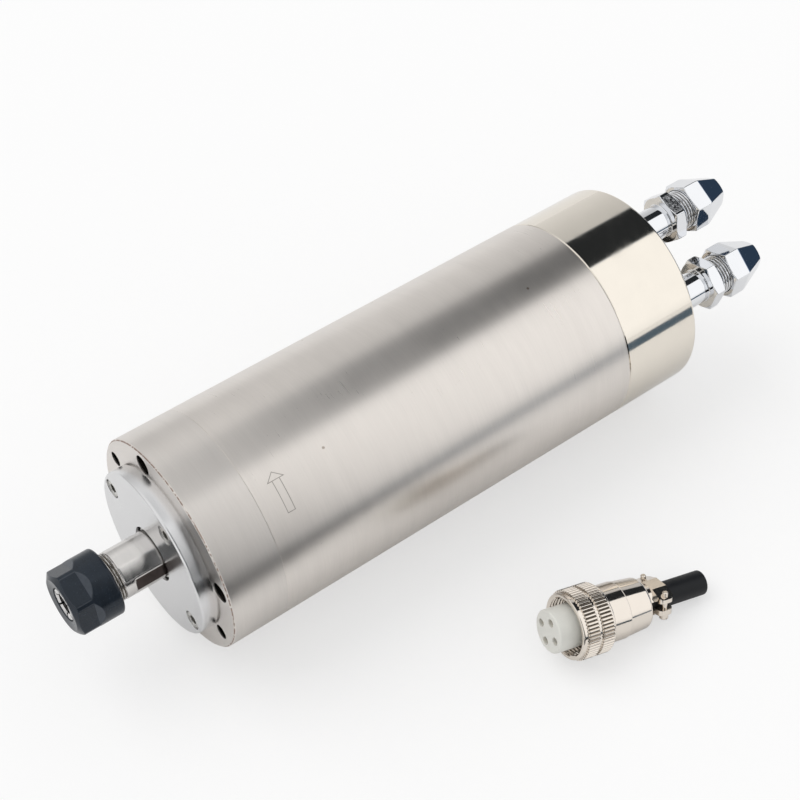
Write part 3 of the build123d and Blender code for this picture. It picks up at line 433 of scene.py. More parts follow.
class Tree:
    """The node tree of a material or a world."""

    def __init__(self, owner: Union[bpy.types.Material, bpy.types.World]) -> None:
        """Switch the owner to nodes and empty its tree."""
        owner.use_nodes = True
        self.nodes = owner.node_tree.nodes
        self.links = owner.node_tree.links
        self.nodes.clear()

    def node(self, kind: str, settings: Optional[Mapping[str, Any]] = None,
             inputs: Optional[Mapping[Union[str, int], Any]] = None, output: Union[str, int] = 0) -> Value:
        """Add a node, set it up, and fill its sockets.

        Args:
            kind: Blender's name of the node type.
            settings: Attributes of the node, set before its sockets.
            inputs: Socket name or number, with a number, a vector, a colour or a link.
            output: Socket to return.

        Returns:
            The chosen output socket as a Value.
        """
        node = self.nodes.new(kind)
        for name, setting in (settings or {}).items():
            setattr(node, name, setting)
        for name, content in (inputs or {}).items():
            socket = node.inputs[name]
            if isinstance(content, Value):
                self.links.new(content.socket, socket)
            elif content is not None:
                socket.default_value = content
        outputs = node.outputs
        return Value(self, outputs[output]) if len(outputs) else Value(self, None)

    def math(self, operation: str, *terms: Number) -> Value:
        """Add a Math node for one operation on numbers or links."""
        return self.node("ShaderNodeMath", {"operation": operation}, dict(enumerate(terms)))

    def vector(self, operation: str, first: Any, second: Any, output: Union[str, int] = 0) -> Value:
        """Add a Vector Math node for one operation on two vectors."""
        return self.node("ShaderNodeVectorMath", {"operation": operation}, {0: first, 1: second}, output)

    def combine(self, x: Number, y: Number, z: Number) -> Value:
        """Join three values into a vector."""
        return self.node("ShaderNodeCombineXYZ", None, {0: x, 1: y, 2: z})

    def mix(self, factor: Number, first: Any, second: Any) -> Value:
        """Mix two colours by a factor."""
        settings = {"data_type": "RGBA", "blend_type": "MIX"}
        return self.node("ShaderNodeMix", settings, {0: factor, 6: colour_of(first), 7: colour_of(second)}, 2)

    def scale(self, colour: Any, factor: Number) -> Value:
        """Multiply a colour by a value.

        Args:
            colour: A plain colour or a link.
            factor: Number or link.

        Returns:
            The scaled colour.
        """
        settings = {"data_type": "RGBA", "blend_type": "MULTIPLY"}
        grey = self.combine(factor, factor, factor)
        return self.node("ShaderNodeMix", settings, {0: 1.0, 6: colour_of(colour), 7: grey}, 2)

    def noise(self, vector: Value, scale: float = 1.0, detail: float = 3.0, roughness: float = 0.55) -> Value:
        """Return fractal noise around 0.5 at a scale."""
        inputs = {"Vector": vector, "Scale": scale, "Detail": detail, "Roughness": roughness}
        return self.node("ShaderNodeTexNoise", None, inputs, "Fac")

    def specks(self, vector: Value, scale: float) -> Value:
        """Return the distance to the nearest of scattered points, in cells."""
        return self.node("ShaderNodeTexVoronoi", None, {"Vector": vector, "Scale": scale}, "Distance")

    def mask(self) -> Value:
        """Return the mask that a mesh from a grid carries."""
        return self.node("ShaderNodeAttribute", {"attribute_name": MASK}, None, "Fac")

    def bump(self, height: Value, depth: float, normal: Optional[Value] = None) -> Value:
        """Turn a height, whose full depth is in millimetres, into a normal."""
        inputs = {"Strength": 1.0, "Distance": depth * MM, "Height": height, "Normal": normal}
        return self.node("ShaderNodeBump", None, inputs)


def colour_of(content: Any) -> Any:
    """Add the alpha to a plain colour and leave a link as it is."""
    return content if isinstance(content, Value) else (*content, 1.0)


class LatheSpace:
    """Coordinates around an axle, in millimetres, for a pattern that a lathe or a grinder leaves."""

    def __init__(self, tree: Tree, axle: Axle) -> None:
        """Work out the station, the two cross coordinates and the radius from Object coordinates.

        Args:
            tree: Tree that the nodes go into.
            axle: Axle to measure from.
        """
        place = tree.node("ShaderNodeTexCoord", None, None, "Object")
        place = tree.node("ShaderNodeVectorMath", {"operation": "SCALE"}, {0: place, "Scale": 1.0 / MM})
        place = tree.vector("SUBTRACT", place, axle.origin)
        self.tree = tree
        self.place = place
        self.station = tree.vector("DOT_PRODUCT", place, axle.along, "Value")
        self.side = tree.vector("DOT_PRODUCT", place, axle.side, "Value")
        self.up = tree.vector("DOT_PRODUCT", place, axle.up, "Value")
        self.radius = (self.side * self.side + self.up * self.up).power(0.5)

    def angle(self) -> Value:
        """Return the angle from side towards up, in radians."""
        return self.tree.math("ARCTAN2", self.up, self.side)

    def rings(self, across: float, around: float) -> Value:
        """Return a vector that changes fast across the tool marks and slowly around the axle.

        Args:
            across: Marks for each millimetre along the axle or outwards.
            around: Changes for each millimetre around the axle.

        Returns:
            A vector for a noise.
        """
        first = (self.station + self.radius) * across
        return self.tree.combine(first, self.side * around, self.up * around)


# ---------------------------------------------------------------- finishes
@dataclass(frozen=True)
class Finish:
    """A finish that goes on a surface: the base of every material here."""

    name: str
    colour: Triple
    roughness: float
    metallic: float = 1.0
    specular: float = 0.5

    def material(self, axle: Axle, tag: str = "") -> bpy.types.Material:
        """Build the material for a piece that turns, or was turned, about an axle.

        Args:
            axle: Axle that the tool marks run around.
            tag: Added to the name when one finish is used on several axles.

        Returns:
            The finished material.
        """
        name = self.name + tag
        known = bpy.data.materials.get(name)
        if known is not None and known.get("finish") == self.name:
            return known
        material = bpy.data.materials.new(name)
        material["finish"] = self.name
        tree = Tree(material)
        colour, roughness, metallic, normal = self.surface(LatheSpace(tree, axle))
        shader = tree.node("ShaderNodeBsdfPrincipled", None, {
            "Base Color": colour, "Roughness": roughness, "Metallic": metallic, "Normal": normal,
            "Specular IOR Level": self.specular,
        }, "BSDF")
        tree.node("ShaderNodeOutputMaterial", None, {"Surface": shader})
        return material

    def surface(self, lathe: LatheSpace) -> Look:
        """Describe the surface; each finish has its own way.

        Args:
            lathe: Coordinates around the piece's axle.

        Returns:
            Base colour, roughness, metallic value and normal.
        """
        raise NotImplementedError


def valley_shade(lathe: LatheSpace) -> Value:
    """Spread painted shade by the valley mask that the mesh carries, broken up by a noise.

    Args:
        lathe: Coordinates around the piece's axle.

    Returns:
        How much painted shade the valleys get, from 0 to 1.
    """
    broken = lathe.tree.noise(lathe.place, scale=1.8, detail=3.0, roughness=0.6)
    # painted shade: the valleys marked in the mesh's mask are darkened to stand in for the shade that falls
    # in them
    return (lathe.tree.mask().rise(0.30, 0.95) * (0.45 + broken)).least(1.0)


@dataclass(frozen=True)
class GroundMetal(Finish):
    """Steel finished on a cylindrical grinder: fine lines around the axle and soft broad clouding."""

    grain: float = 2.4
    depth: float = 0.006
    streak: float = 0.10
    cloud: float = 0.10
    rough_streak: float = 0.10
    rough_cloud: float = 0.06

    def surface(self, lathe: LatheSpace) -> Look:
        """Streak the colour, the roughness and the height with the same grinding lines.

        Args:
            lathe: Coordinates around the piece's axle.

        Returns:
            Base colour, roughness, metallic value and normal.
        """
        tree = lathe.tree
        fine = tree.noise(lathe.rings(across=self.grain, around=0.10), detail=4.0, roughness=0.62)
        broad = tree.noise(lathe.rings(across=0.35, around=0.05), detail=2.0)
        cloud = tree.noise(lathe.place, scale=0.045, detail=2.0)
        shade = 1.0 + fine.swing(self.streak) + broad.swing(self.streak) + cloud.swing(self.cloud)
        roughness = self.roughness + fine.swing(self.rough_streak) + cloud.swing(self.rough_cloud)
        return tree.scale(self.colour, shade), roughness, self.metallic, tree.bump(fine, self.depth)


@dataclass(frozen=True)
class EtchedSleeve(GroundMetal):
    """Ground steel with the outline of a turning arrow etched near the nose, and a few handling marks."""

    middle_station: float = 24.1
    tip_angle: float = 119.2
    head_angle: float = 3.9
    shaft_angle: float = 16.7
    head_half_width: float = 2.4
    shaft_half_width: float = 1.08
    line: float = 0.13
    radius: float = 31.0
    etched: Triple = (0.24, 0.21, 0.19)
    etched_share: float = 0.72
    etched_roughness: float = 0.2
    scuff_share: float = 0.35
    stain: Triple = (0.20, 0.12, 0.07)
    stain_share: float = 0.7

    def surface(self, lathe: LatheSpace) -> Look:
        """Darken the ground steel along the arrow's outline, at scuffs and at a few stained spots.

        Args:
            lathe: Coordinates around the piece's axle.

        Returns:
            Base colour, roughness, metallic value and normal.
        """
        tree = lathe.tree
        colour, roughness, metallic, normal = super().surface(lathe)
        arrow = self.arrow_outline(lathe)
        spots = 1.0 - tree.specks(lathe.place, scale=0.11).rise(0.030, 0.055)
        spots = spots * tree.noise(lathe.place, scale=0.3).rise(0.5, 0.6)
        scuff = tree.noise(lathe.rings(across=0.9, around=0.9), detail=4.0, roughness=0.7).rise(0.70, 0.78)
        marked = (scuff * self.scuff_share + arrow * self.etched_share).least(1.0)
        colour = tree.mix(marked, colour, self.etched)
        colour = tree.mix(spots * self.stain_share, colour, self.stain)
        return colour, roughness + arrow * self.etched_roughness, metallic, normal

    def arrow_outline(self, lathe: LatheSpace) -> Value:
        """Draw the arrow's outline.

        Formula: the arrow is a triangle joined to a bar, each as the largest of the distances to its
        sides, and its outline is where the smaller of the two is near zero.

        Args:
            lathe: Coordinates around the piece's axle.

        Returns:
            1 on the outline and 0 away from it.
        """
        arc = lathe.angle() * self.radius - math.radians(self.tip_angle) * self.radius
        across = abs(lathe.station - self.middle_station)
        head = math.radians(self.head_angle) * self.radius
        tail = head + math.radians(self.shaft_angle) * self.radius
        slope = math.hypot(head, self.head_half_width)
        flank = (across * head - arc * self.head_half_width) / slope
        triangle = flank.most(arc - head)
        overlap = 0.01
        bar = abs(arc - (head + tail) / 2.0) - (tail - head) / 2.0 - overlap
        bar = (across - self.shaft_half_width).most(bar)
        return 1.0 - abs(triangle.least(bar)).rise(self.line * 0.4, self.line)


@dataclass(frozen=True)
class RustyRim(GroundMetal):
    """Ground steel with a broken line of rust along the front edge, specks, and painted shade inside its
    holes.
    """

    rim: Pair = (30.50, 30.70)
    rim_end: Pair = (0.20, 0.45)
    hole_front: Pair = (0.15, 0.50)
    hole_reach: Pair = (30.3, 30.6)
    rust: Triple = (0.17, 0.085, 0.055)
    rust_roughness: float = 0.35
    rust_dullness: float = 0.85
    hole_shade_colour: Triple = (0.11, 0.10, 0.09)

    def surface(self, lathe: LatheSpace) -> Look:
        """Lay the rust where the radius and the station are both near the front edge.

        Args:
            lathe: Coordinates around the piece's axle.

        Returns:
            Base colour, roughness, metallic value and normal.
        """
        tree = lathe.tree
        colour, roughness, metallic, normal = super().surface(lathe)
        edge = lathe.radius.rise(*self.rim) * (1.0 - lathe.station.rise(*self.rim_end))
        broken = tree.noise(lathe.place, scale=0.9, detail=4.0, roughness=0.65).rise(0.42, 0.54)
        specks = 1.0 - tree.specks(lathe.place, scale=0.09).rise(0.035, 0.065)
        stained = tree.noise(lathe.place, scale=0.22, detail=2.0).rise(0.55, 0.62)
        inside = lathe.station.rise(*self.hole_front) * (1.0 - lathe.radius.rise(*self.hole_reach))
        rust = (edge * broken + specks * stained).least(1.0)
        # painted shade: the walls behind the front face and inside the rim's radius, the holes, are darkened
        colour = tree.mix(rust, tree.mix(inside, colour, self.hole_shade_colour), self.rust)
        return colour, roughness + rust * self.rust_roughness, metallic - rust * self.rust_dullness, normal


@dataclass(frozen=True)
class FlattedShaft(GroundMetal):
    """Ground steel with painted shade in its thread, and milled flats painted dark brown as a painted
    reflection.
    """

    flat_span: Pair = (-13.4, -4.1)
    flat_radius: float = 6.84
    flat_reflection_colour: Triple = (0.055, 0.043, 0.040)
    flat_roughness: float = 0.12
    thread_shade_colour: Triple = (0.10, 0.082, 0.052)
    thread_shade_share: float = 0.92
    thread_roughness: float = 0.2

    def surface(self, lathe: LatheSpace) -> Look:
        """Paint shade into the thread's valleys, and a dark reflection onto the flats by their smaller
        distance from the axis.

        Args:
            lathe: Coordinates around the piece's axle.

        Returns:
            Base colour, roughness, metallic value and normal.
        """
        tree = lathe.tree
        colour, roughness, metallic, normal = super().surface(lathe)
        flat = lathe.station.band(*self.flat_span, soft=0.08)
        flat = flat * (1.0 - lathe.radius.rise(self.flat_radius - 0.05, self.flat_radius))
        patchy = tree.noise(lathe.place, scale=0.6, detail=3.0, roughness=0.6)
        # painted reflection: the flats are coloured a patchy dark brown to stand in for the dark that they
        # reflect
        colour = tree.mix(flat, colour, tree.scale(self.flat_reflection_colour, 0.7 + patchy * 0.6))
        shaded = valley_shade(lathe) * self.thread_shade_share
        roughness = roughness + flat * self.flat_roughness + shaded * self.thread_roughness
        # painted shade: the thread's valleys are darkened
        return tree.mix(shaded, colour, self.thread_shade_colour), roughness, metallic, normal


@dataclass(frozen=True)
class PolishedMetal(Finish):
    """Polished or plated metal: hairline scratches, faint wipe marks and a little orange peel."""

    scratches: float = 0.05
    wiped: float = 0.05
    peel: float = 0.0012
    peel_scale: float = 0.5
    edge: float = 0.0

    def surface(self, lathe: LatheSpace) -> Look:
        """Vary the roughness with wipe marks and lift the surface with hairlines and orange peel.

        Args:
            lathe: Coordinates around the piece's axle.

        Returns:
            Base colour, roughness, metallic value and normal, rounded at the edges if an edge is set.
        """
        tree = lathe.tree
        wipe = tree.noise(lathe.place, scale=0.16, detail=3.0, roughness=0.6)
        hairs = tree.noise(lathe.rings(across=3.2, around=0.22), detail=3.0, roughness=0.7).rise(0.62, 0.80)
        peel = tree.noise(lathe.place, scale=self.peel_scale, detail=2.0)
        shade = 1.0 - hairs * self.scratches - wipe.swing(self.wiped)
        roughness = self.roughness + wipe.rise(0.45, 0.75) * self.wiped + hairs * self.scratches
        normal = None
        if self.edge > 0.0:
            normal = tree.node("ShaderNodeBevel", {"samples": 4}, {"Radius": self.edge * MM})
        return tree.scale(self.colour, shade), roughness, self.metallic, tree.bump(peel, self.peel, normal)


@dataclass(frozen=True)
class ValleyShadedPlate(PolishedMetal):
    """Plating with painted shade in the valleys of a thread or of a knurl, where the mask is high."""

    valley_shade_colour: Triple = (0.075, 0.060, 0.042)
    share: float = 0.9
    valley_roughness: float = 0.25
    valley_dullness: float = 0.3

    def surface(self, lathe: LatheSpace) -> Look:
        """Dull the valleys and darken them with painted shade, broken up by a noise.

        Args:
            lathe: Coordinates around the piece's axle.

        Returns:
            Base colour, roughness, metallic value and normal.
        """
        colour, roughness, metallic, normal = super().surface(lathe)
        shaded = valley_shade(lathe) * self.share
        # painted shade in the thread and knurl valleys
        colour = lathe.tree.mix(shaded, colour, self.valley_shade_colour)
        roughness = roughness + shaded * self.valley_roughness
        return colour, roughness, metallic - shaded * self.valley_dullness, normal


@dataclass(frozen=True)
class CastPlate(ValleyShadedPlate):
    """Bright plating over a rough casting, dark and pitted on one side of the collar."""

    dark_angle: float = 90.0
    dark_width: float = 26.0
    dark_margin: float = 3.0
    collar: Pair = (0.0, 0.0)
    collar_margin: float = 0.35
    pits: Triple = (0.035, 0.037, 0.042)
    pit_roughness: float = 0.35
    pit_depth: float = 0.05

    def surface(self, lathe: LatheSpace) -> Look:
        """Pit one flat of the collar and leave the rest as plain plating.

        Args:
            lathe: Coordinates around the piece's axle.

        Returns:
            Base colour, roughness, metallic value and normal.
        """
        tree = lathe.tree
        colour, roughness, metallic, normal = super().surface(lathe)
        turned = math.radians(self.dark_angle)
        facing = (lathe.side * math.cos(turned) + lathe.up * math.sin(turned)) / lathe.radius.most(0.1)
        outer, inner = math.radians(self.dark_width), math.radians(self.dark_width - self.dark_margin)
        start, end = self.collar
        patch = facing.rise(math.cos(outer), math.cos(inner))
        patch = patch * lathe.station.band(start + self.collar_margin, end - self.collar_margin, soft=0.12)
        pits = tree.noise(lathe.place, scale=1.6, detail=4.0, roughness=0.75)
        colour = tree.mix(patch * pits.rise(0.36, 0.58), colour, self.pits)
        normal = tree.bump(pits * patch, self.pit_depth, normal)
        return colour, roughness + patch * self.pit_roughness, metallic, normal


@dataclass(frozen=True)
class TurnedMetal(Finish):
    """Metal faced on a lathe: concentric tool rings, even and fine, under a satin sheen."""

    pitch: float = 0.22
    depth: float = 0.004
    feed_height: float = 0.12
    lines: float = 0.10
    cloud: float = 0.06
    rough_lines: float = 0.10
    rough_cloud: float = 0.05

    def surface(self, lathe: LatheSpace) -> Look:
        """Add the tool's even feed rings to irregular fine lines.

        Args:
            lathe: Coordinates around the piece's axle.

        Returns:
            Base colour, roughness, metallic value and normal.
        """
        tree = lathe.tree
        feed = tree.math("SINE", (lathe.radius + lathe.station) * (FULL_TURN / self.pitch))
        fine = tree.noise(lathe.rings(across=3.0, around=0.08), detail=3.0, roughness=0.6)
        cloud = tree.noise(lathe.place, scale=0.08, detail=2.0)
        shade = 1.0 + fine.swing(self.lines) + cloud.swing(self.cloud)
        roughness = self.roughness + fine.swing(self.rough_lines) + cloud.swing(self.rough_cloud)
        normal = tree.bump(feed * self.feed_height + fine, self.depth)
        return tree.scale(self.colour, shade), roughness, self.metallic, normal


@dataclass(frozen=True)
class BlackOxide(Finish):
    """Blackened steel: a dark, faintly blue coat, lightened on its edges by wear to plain steel and by a
    painted highlight.
    """

    bare_and_sheen: Triple = (0.15, 0.165, 0.19)
    bare_and_sheen_share: float = 0.45
    bare_shine: float = 0.05
    rough_grain: float = 0.16
    depth: float = 0.004

    def surface(self, lathe: LatheSpace) -> Look:
        """Lighten the colour, part wear to plain steel and part painted highlight, where the edge mask is
        high and a noise breaks it up.

        Args:
            lathe: Coordinates around the piece's axle.

        Returns:
            Base colour, roughness, metallic value and normal.
        """
        tree = lathe.tree
        grain = tree.noise(lathe.place, scale=2.2, detail=4.0, roughness=0.7)
        lines = tree.noise(lathe.rings(across=3.0, around=0.25), detail=3.0, roughness=0.6)
        cloud = tree.noise(lathe.place, scale=0.35, detail=2.0)
        # partly wear, partly painted highlight: the edges and the flats' run-out slopes are lightened
        patchy = (tree.mask().rise(0.45, 1.0) * (0.35 + grain)).least(1.0) * self.bare_and_sheen_share
        dark = tree.scale(self.colour, 0.25 + grain * 0.45 + lines * 0.35 + cloud * 0.70)
        roughness = self.roughness + grain.swing(self.rough_grain) - patchy * self.bare_shine
        metallic = self.metallic + patchy * (1.0 - self.metallic)
        return tree.mix(patchy, dark, self.bare_and_sheen), roughness, metallic, tree.bump(lines, self.depth)


@dataclass(frozen=True)
class Moulded(Finish):
    """Moulded plastic or rubber: a fine grain and faint mottling."""

    grain: float = 3.0
    depth: float = 0.01
    mottle: float = 0.08
    rough_mottle: float = 0.12

    def surface(self, lathe: LatheSpace) -> Look:
        """Mottle the colour and lift a fine grain.

        Args:
            lathe: Coordinates around the piece's axle.

        Returns:
            Base colour, roughness, metallic value and normal.
        """
        tree = lathe.tree
        grain = tree.noise(lathe.place, scale=self.grain, detail=4.0, roughness=0.65)
        mottle = tree.noise(lathe.place, scale=0.5, detail=3.0)
        shade = 1.0 + mottle.swing(2.0 * self.mottle) + grain.swing(self.mottle)
        roughness = self.roughness + mottle.swing(self.rough_mottle)
        return tree.scale(self.colour, shade), roughness, self.metallic, tree.bump(grain, self.depth)


@dataclass(frozen=True)
class Stacked(Finish):
    """Sheets or wires that lie side by side along the axle, with dark gaps between them."""

    pitch: float = 0.5
    slant: float = 0.35
    gap: Triple = (0.03, 0.02, 0.015)
    depth: float = 0.05
    rough_grain: float = 0.1

    def surface(self, lathe: LatheSpace) -> Look:
        """Round each layer with a sine wave and darken the gap beside it.

        Args:
            lathe: Coordinates around the piece's axle.

        Returns:
            Base colour, roughness, metallic value and normal.
        """
        tree = lathe.tree
        wave = tree.math("SINE", (lathe.station + lathe.radius * self.slant) * (FULL_TURN / self.pitch))
        grain = tree.noise(lathe.place, scale=1.4, detail=3.0)
        layer = tree.scale(self.colour, 0.8 + grain * 0.4)
        colour = tree.mix(1.0 - wave.rise(-1.0, -0.4), layer, self.gap)
        roughness = self.roughness + grain.swing(self.rough_grain)
        return colour, roughness, self.metallic, tree.bump(wave, self.depth)


GROUND_SLEEVE = EtchedSleeve("ground_sleeve", (0.78, 0.735, 0.69), 0.30)
GROUND_NOSE = RustyRim("ground_nose", (0.76, 0.72, 0.68), 0.32)
POLISHED_CAP = PolishedMetal("polished_cap", (0.84, 0.785, 0.70), 0.085)
SATIN_COVER = TurnedMetal("satin_cover", (0.76, 0.76, 0.765), 0.25, depth=0.0016)
GROUND_SHAFT = FlattedShaft("ground_shaft", (0.72, 0.70, 0.68), 0.19, depth=0.004)
BLACK_NUT = BlackOxide("black_nut", (0.012, 0.019, 0.029), 0.25, metallic=0.25, specular=0.42)
COLLET_STEEL = GroundMetal("collet_steel", (0.70, 0.69, 0.68), 0.20, depth=0.003)
SCREW_STEEL = PolishedMetal("screw_steel", (0.62, 0.61, 0.58), 0.26, scratches=0.12, peel=0.006,
                            peel_scale=1.2)
# chrome and nickel plating get painted shade in the valleys of their threads and knurls
CHROME = ValleyShadedPlate("chrome_plate", (0.82, 0.83, 0.85), 0.055, peel=0.0010)
NICKEL = ValleyShadedPlate("nickel_plate", (0.80, 0.735, 0.66), 0.085, peel=0.0016)
SHARP_NICKEL = PolishedMetal("formed_nickel", (0.78, 0.71, 0.63), 0.12, peel=0.003, edge=0.12)
BEARING_STEEL = PolishedMetal("bearing_steel", (0.68, 0.68, 0.69), 0.10)
SPRING_STEEL = GroundMetal("spring_steel", (0.40, 0.40, 0.42), 0.30)
MACHINED_ALUMINIUM = TurnedMetal("machined_aluminium", (0.72, 0.72, 0.73), 0.32)
CAST_ALUMINIUM = Moulded("cast_aluminium", (0.70, 0.70, 0.71), 0.42, depth=0.03)
LAMINATIONS = Stacked("laminations", (0.32, 0.32, 0.34), 0.38)
WINDINGS = Stacked("windings", (0.70, 0.30, 0.14), 0.30, metallic=0.8, pitch=0.7, depth=0.09)
RESIN = Moulded("cage_resin", (0.32, 0.15, 0.06), 0.45, metallic=0.0, mottle=0.2)
COPPER_TUBE = PolishedMetal("copper_tube", (0.80, 0.42, 0.27), 0.24)
CONTACT_BRASS = PolishedMetal("contact_brass", (0.78, 0.60, 0.28), 0.18)
SEAL_RUBBER = Moulded("seal_rubber", (0.022, 0.022, 0.022), 0.55, metallic=0.0)
CABLE_RUBBER = Moulded("cable_rubber", (0.008, 0.009, 0.011), 0.46, metallic=0.0, specular=0.28,
                       grain=1.6, depth=0.012)
LEAD_SILICONE = Moulded("lead_silicone", (0.46, 0.045, 0.03), 0.4, metallic=0.0)
WHITE_INSULATOR = Moulded("white_insulator", (0.74, 0.735, 0.685), 0.42, metallic=0.0, depth=0.006,
                          mottle=0.05)
DARK_INSULATOR = Moulded("dark_insulator", (0.03, 0.03, 0.032), 0.38, metallic=0.0)


def dress(piece: bpy.types.Object, finish: Finish, axle: Axle, tag: str = "") -> bpy.types.Object:
    """Give a piece one finish, in place of what it had.

    Args:
        piece: Object to dress.
        finish: Finish to put on it.
        axle: Axle of its tool marks.
        tag: Name of that axle, where a finish is used on more than one.

    Returns:
        The same piece.
    """
    material = finish.material(axle, tag)
    if piece.material_slots:
        for holder in piece.material_slots:
            holder.material = material
    else:
        piece.data.materials.append(material)
    LOG.info("%s: %s, %d vertices", piece.name, material.name, len(piece.data.vertices))
    return piece


def dress_nodes(finishes: Mapping[str, Finish], axle: Axle, tag: str = "") -> None:
    """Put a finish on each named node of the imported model."""
    for node, finish in finishes.items():
        dress(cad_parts[node], finish, axle, tag)


def stand_for(piece: bpy.types.Object, node: str, body: str) -> None:
    """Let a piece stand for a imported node.

    Args:
        piece: The finer piece.
        node: Name of the node that it stands for.
        body: Body that it rides on.
    """
    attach(piece, body)
    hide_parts(node)


# ---------------------------------------------------------------- sub-assemblies
@dataclass
class Housing:
    """The outer shells, the front cover, the screws and everything that stays still inside."""

    finishes: dict[str, Finish] = field(default_factory=lambda: {
        "front_bearing_housing": GROUND_NOSE,
        "front_cover": SATIN_COVER,
        "front_cover_screws": SCREW_STEEL,
        "front_housing_screws": SCREW_STEEL,
        "outer_sleeve": GROUND_SLEEVE,
        "rear_cap": POLISHED_CAP,
        "rear_cap_screws": SCREW_STEEL,
        "water_jacket": MACHINED_ALUMINIUM,
        "jacket_o_rings": SEAL_RUBBER,
        "stator_core": LAMINATIONS,
        "stator_windings": WINDINGS,
        "motor_leads": LEAD_SILICONE,
        "front_bearing_outer_rings": BEARING_STEEL,
        "rear_bearing_housing": MACHINED_ALUMINIUM,
        "rear_bearing_outer_ring": BEARING_STEEL,
        "preload_spring": SPRING_STEEL,
        "port_seals": SEAL_RUBBER,
        "water_tubes": COPPER_TUBE,
        "socket_shell": NICKEL,
        "socket_nut": SHARP_NICKEL,
        "socket_insulator": DARK_INSULATOR,
        "socket_pins": CONTACT_BRASS,
    })

    def build(self) -> None:
        """Dress the nodes; their shapes are right as they are."""
        dress_nodes(self.finishes, SPINDLE)


@dataclass
class Rotor:
    """The shaft with its threaded nose and spanner flats, and what turns with it.

    Each journal is a row of its first station, its radius, and the fillets at its two ends.
    """

    front: float = -26.9
    mouth_radius: float = 5.78
    nose_radius: float = 6.9
    journals: tuple[tuple[float, float, float, float], ...] = (
        (-4.0, 7.5, 0.15, 0.0), (18.0, 9.5, 0.2, 0.2), (45.0, 9.0, 0.0, 0.1), (100.0, 7.6, 0.1, 0.1),
        (114.0, 6.0, 0.1, 0.4),
    )
    socket_length: float = 34.0
    socket_radius: float = 3.6
    drill_point: float = 1.8
    pinhole: float = 0.05
    cone_end: float = -12.75
    cone_radius: float = 3.79
    flats: Pair = (-13.6, -4.0)
    flats_ramp: float = 0.05
    flat_distance: float = 6.5
    flats_angle: float = 175.0
    clear: float = 3.0
    edge: float = 0.12
    pitch: float = 0.75
    thread_depth: float = 0.40
    thread_end: float = -16.1
    thread_fade: float = 0.5
    skin_radius: float = 6.4
    skin_end: float = 0.5
    coarse_step: float = 2.0
    fine_end: float = 1.0
    step: float = 0.30
    thread_step: float = 0.125
    angles: int = 128
    inner: dict[str, Finish] = field(default_factory=lambda: {
        "shaft": GROUND_SHAFT,
        "front_thrower": BEARING_STEEL,
        "front_bearing_inner_rings": BEARING_STEEL,
        "rotor_core": LAMINATIONS,
        "rotor_cage": CAST_ALUMINIUM,
        "rear_bearing_inner_ring": BEARING_STEEL,
        "rear_locknut": SPRING_STEEL,
        "front_ball_cages": RESIN,
        "front_balls": BEARING_STEEL,
        "rear_ball_cage": RESIN,
        "rear_balls": BEARING_STEEL,
    })

    def corners(self) -> list[Triple]:
        """List the shaft's meridian corners: outside from the nose to the tail, then the socket.

        Returns:
            Station, radius and fillet of each corner.
        """
        shaft_end = node_end("shaft") - NOSE_X
        socket_end = self.front + self.socket_length
        ends = [journal[0] for journal in self.journals[1:]] + [shaft_end]
        corners = [
            (self.front, self.mouth_radius, 0.1), (self.front, self.nose_radius, 0.35),
            (self.journals[0][0], self.nose_radius, 0.0),
        ]
        for (start, radius, first, last), end in zip(self.journals, ends):
            corners += [(start, radius, first), (end, radius, last)]
        return corners + [
            (shaft_end, self.pinhole, 0.0), (socket_end + self.drill_point, self.pinhole, 0.0),
            (socket_end, self.socket_radius, 0.0), (self.cone_end, self.socket_radius, 0.0),
            (self.cone_end, self.cone_radius, 0.0),
        ]

    def surface(self) -> bpy.types.Object:
        """Make the shaft: a turned outline with a helical thread and two flats.

        Formula: in the threaded stretch the radius loses depth * thread, and between the ends of the
        flats it is the rounded smaller of the radius and the flats' reach.

        Returns:
            The shaft.
        """
        outline = rounded_outline(self.corners(), self.coarse_step)
        outline = refine(outline, (self.front, self.fine_end), self.step)
        station, radius = refine(outline, (self.front, self.thread_end), self.thread_step).T
        middles = np.radians([self.flats_angle, self.flats_angle + 180.0])
        angle = angle_grid(self.angles)
        outside = (radius > self.skin_radius) & (station > self.front + 0.02) & (station < self.skin_end)
        fade = 1.0 - ramp(station, self.thread_end - self.thread_fade, self.thread_end)
        valley = (outside * fade)[:, None] * thread_valley(station, angle, self.pitch)
        field_radius = radius[:, None] - valley * self.thread_depth
        reach, _ = flats_reach(angle, middles, self.flat_distance, 0.01)
        start, end = self.flats
        held = ramp(station, start - self.flats_ramp, start + self.flats_ramp)
        held = held * (1.0 - ramp(station, end - self.flats_ramp, end + self.flats_ramp))
        carved, _ = blend_min(field_radius, reach + (1.0 - held[:, None]) * self.clear, self.edge)
        field_radius = np.where(outside[:, None], carved, field_radius)
        # the thread's valleys in the mask get the shaft's painted shade
        return grid_piece("spindle_shaft", SPINDLE.place(station[:, None], field_radius, angle), valley)

    def build(self) -> None:
        """Make the shaft and dress the rotor and the balls."""
        shaft = dress(self.surface(), GROUND_SHAFT, SPINDLE)
        stand_for(shaft, "shaft", "rotor")
        dress_nodes(self.inner, SPINDLE)


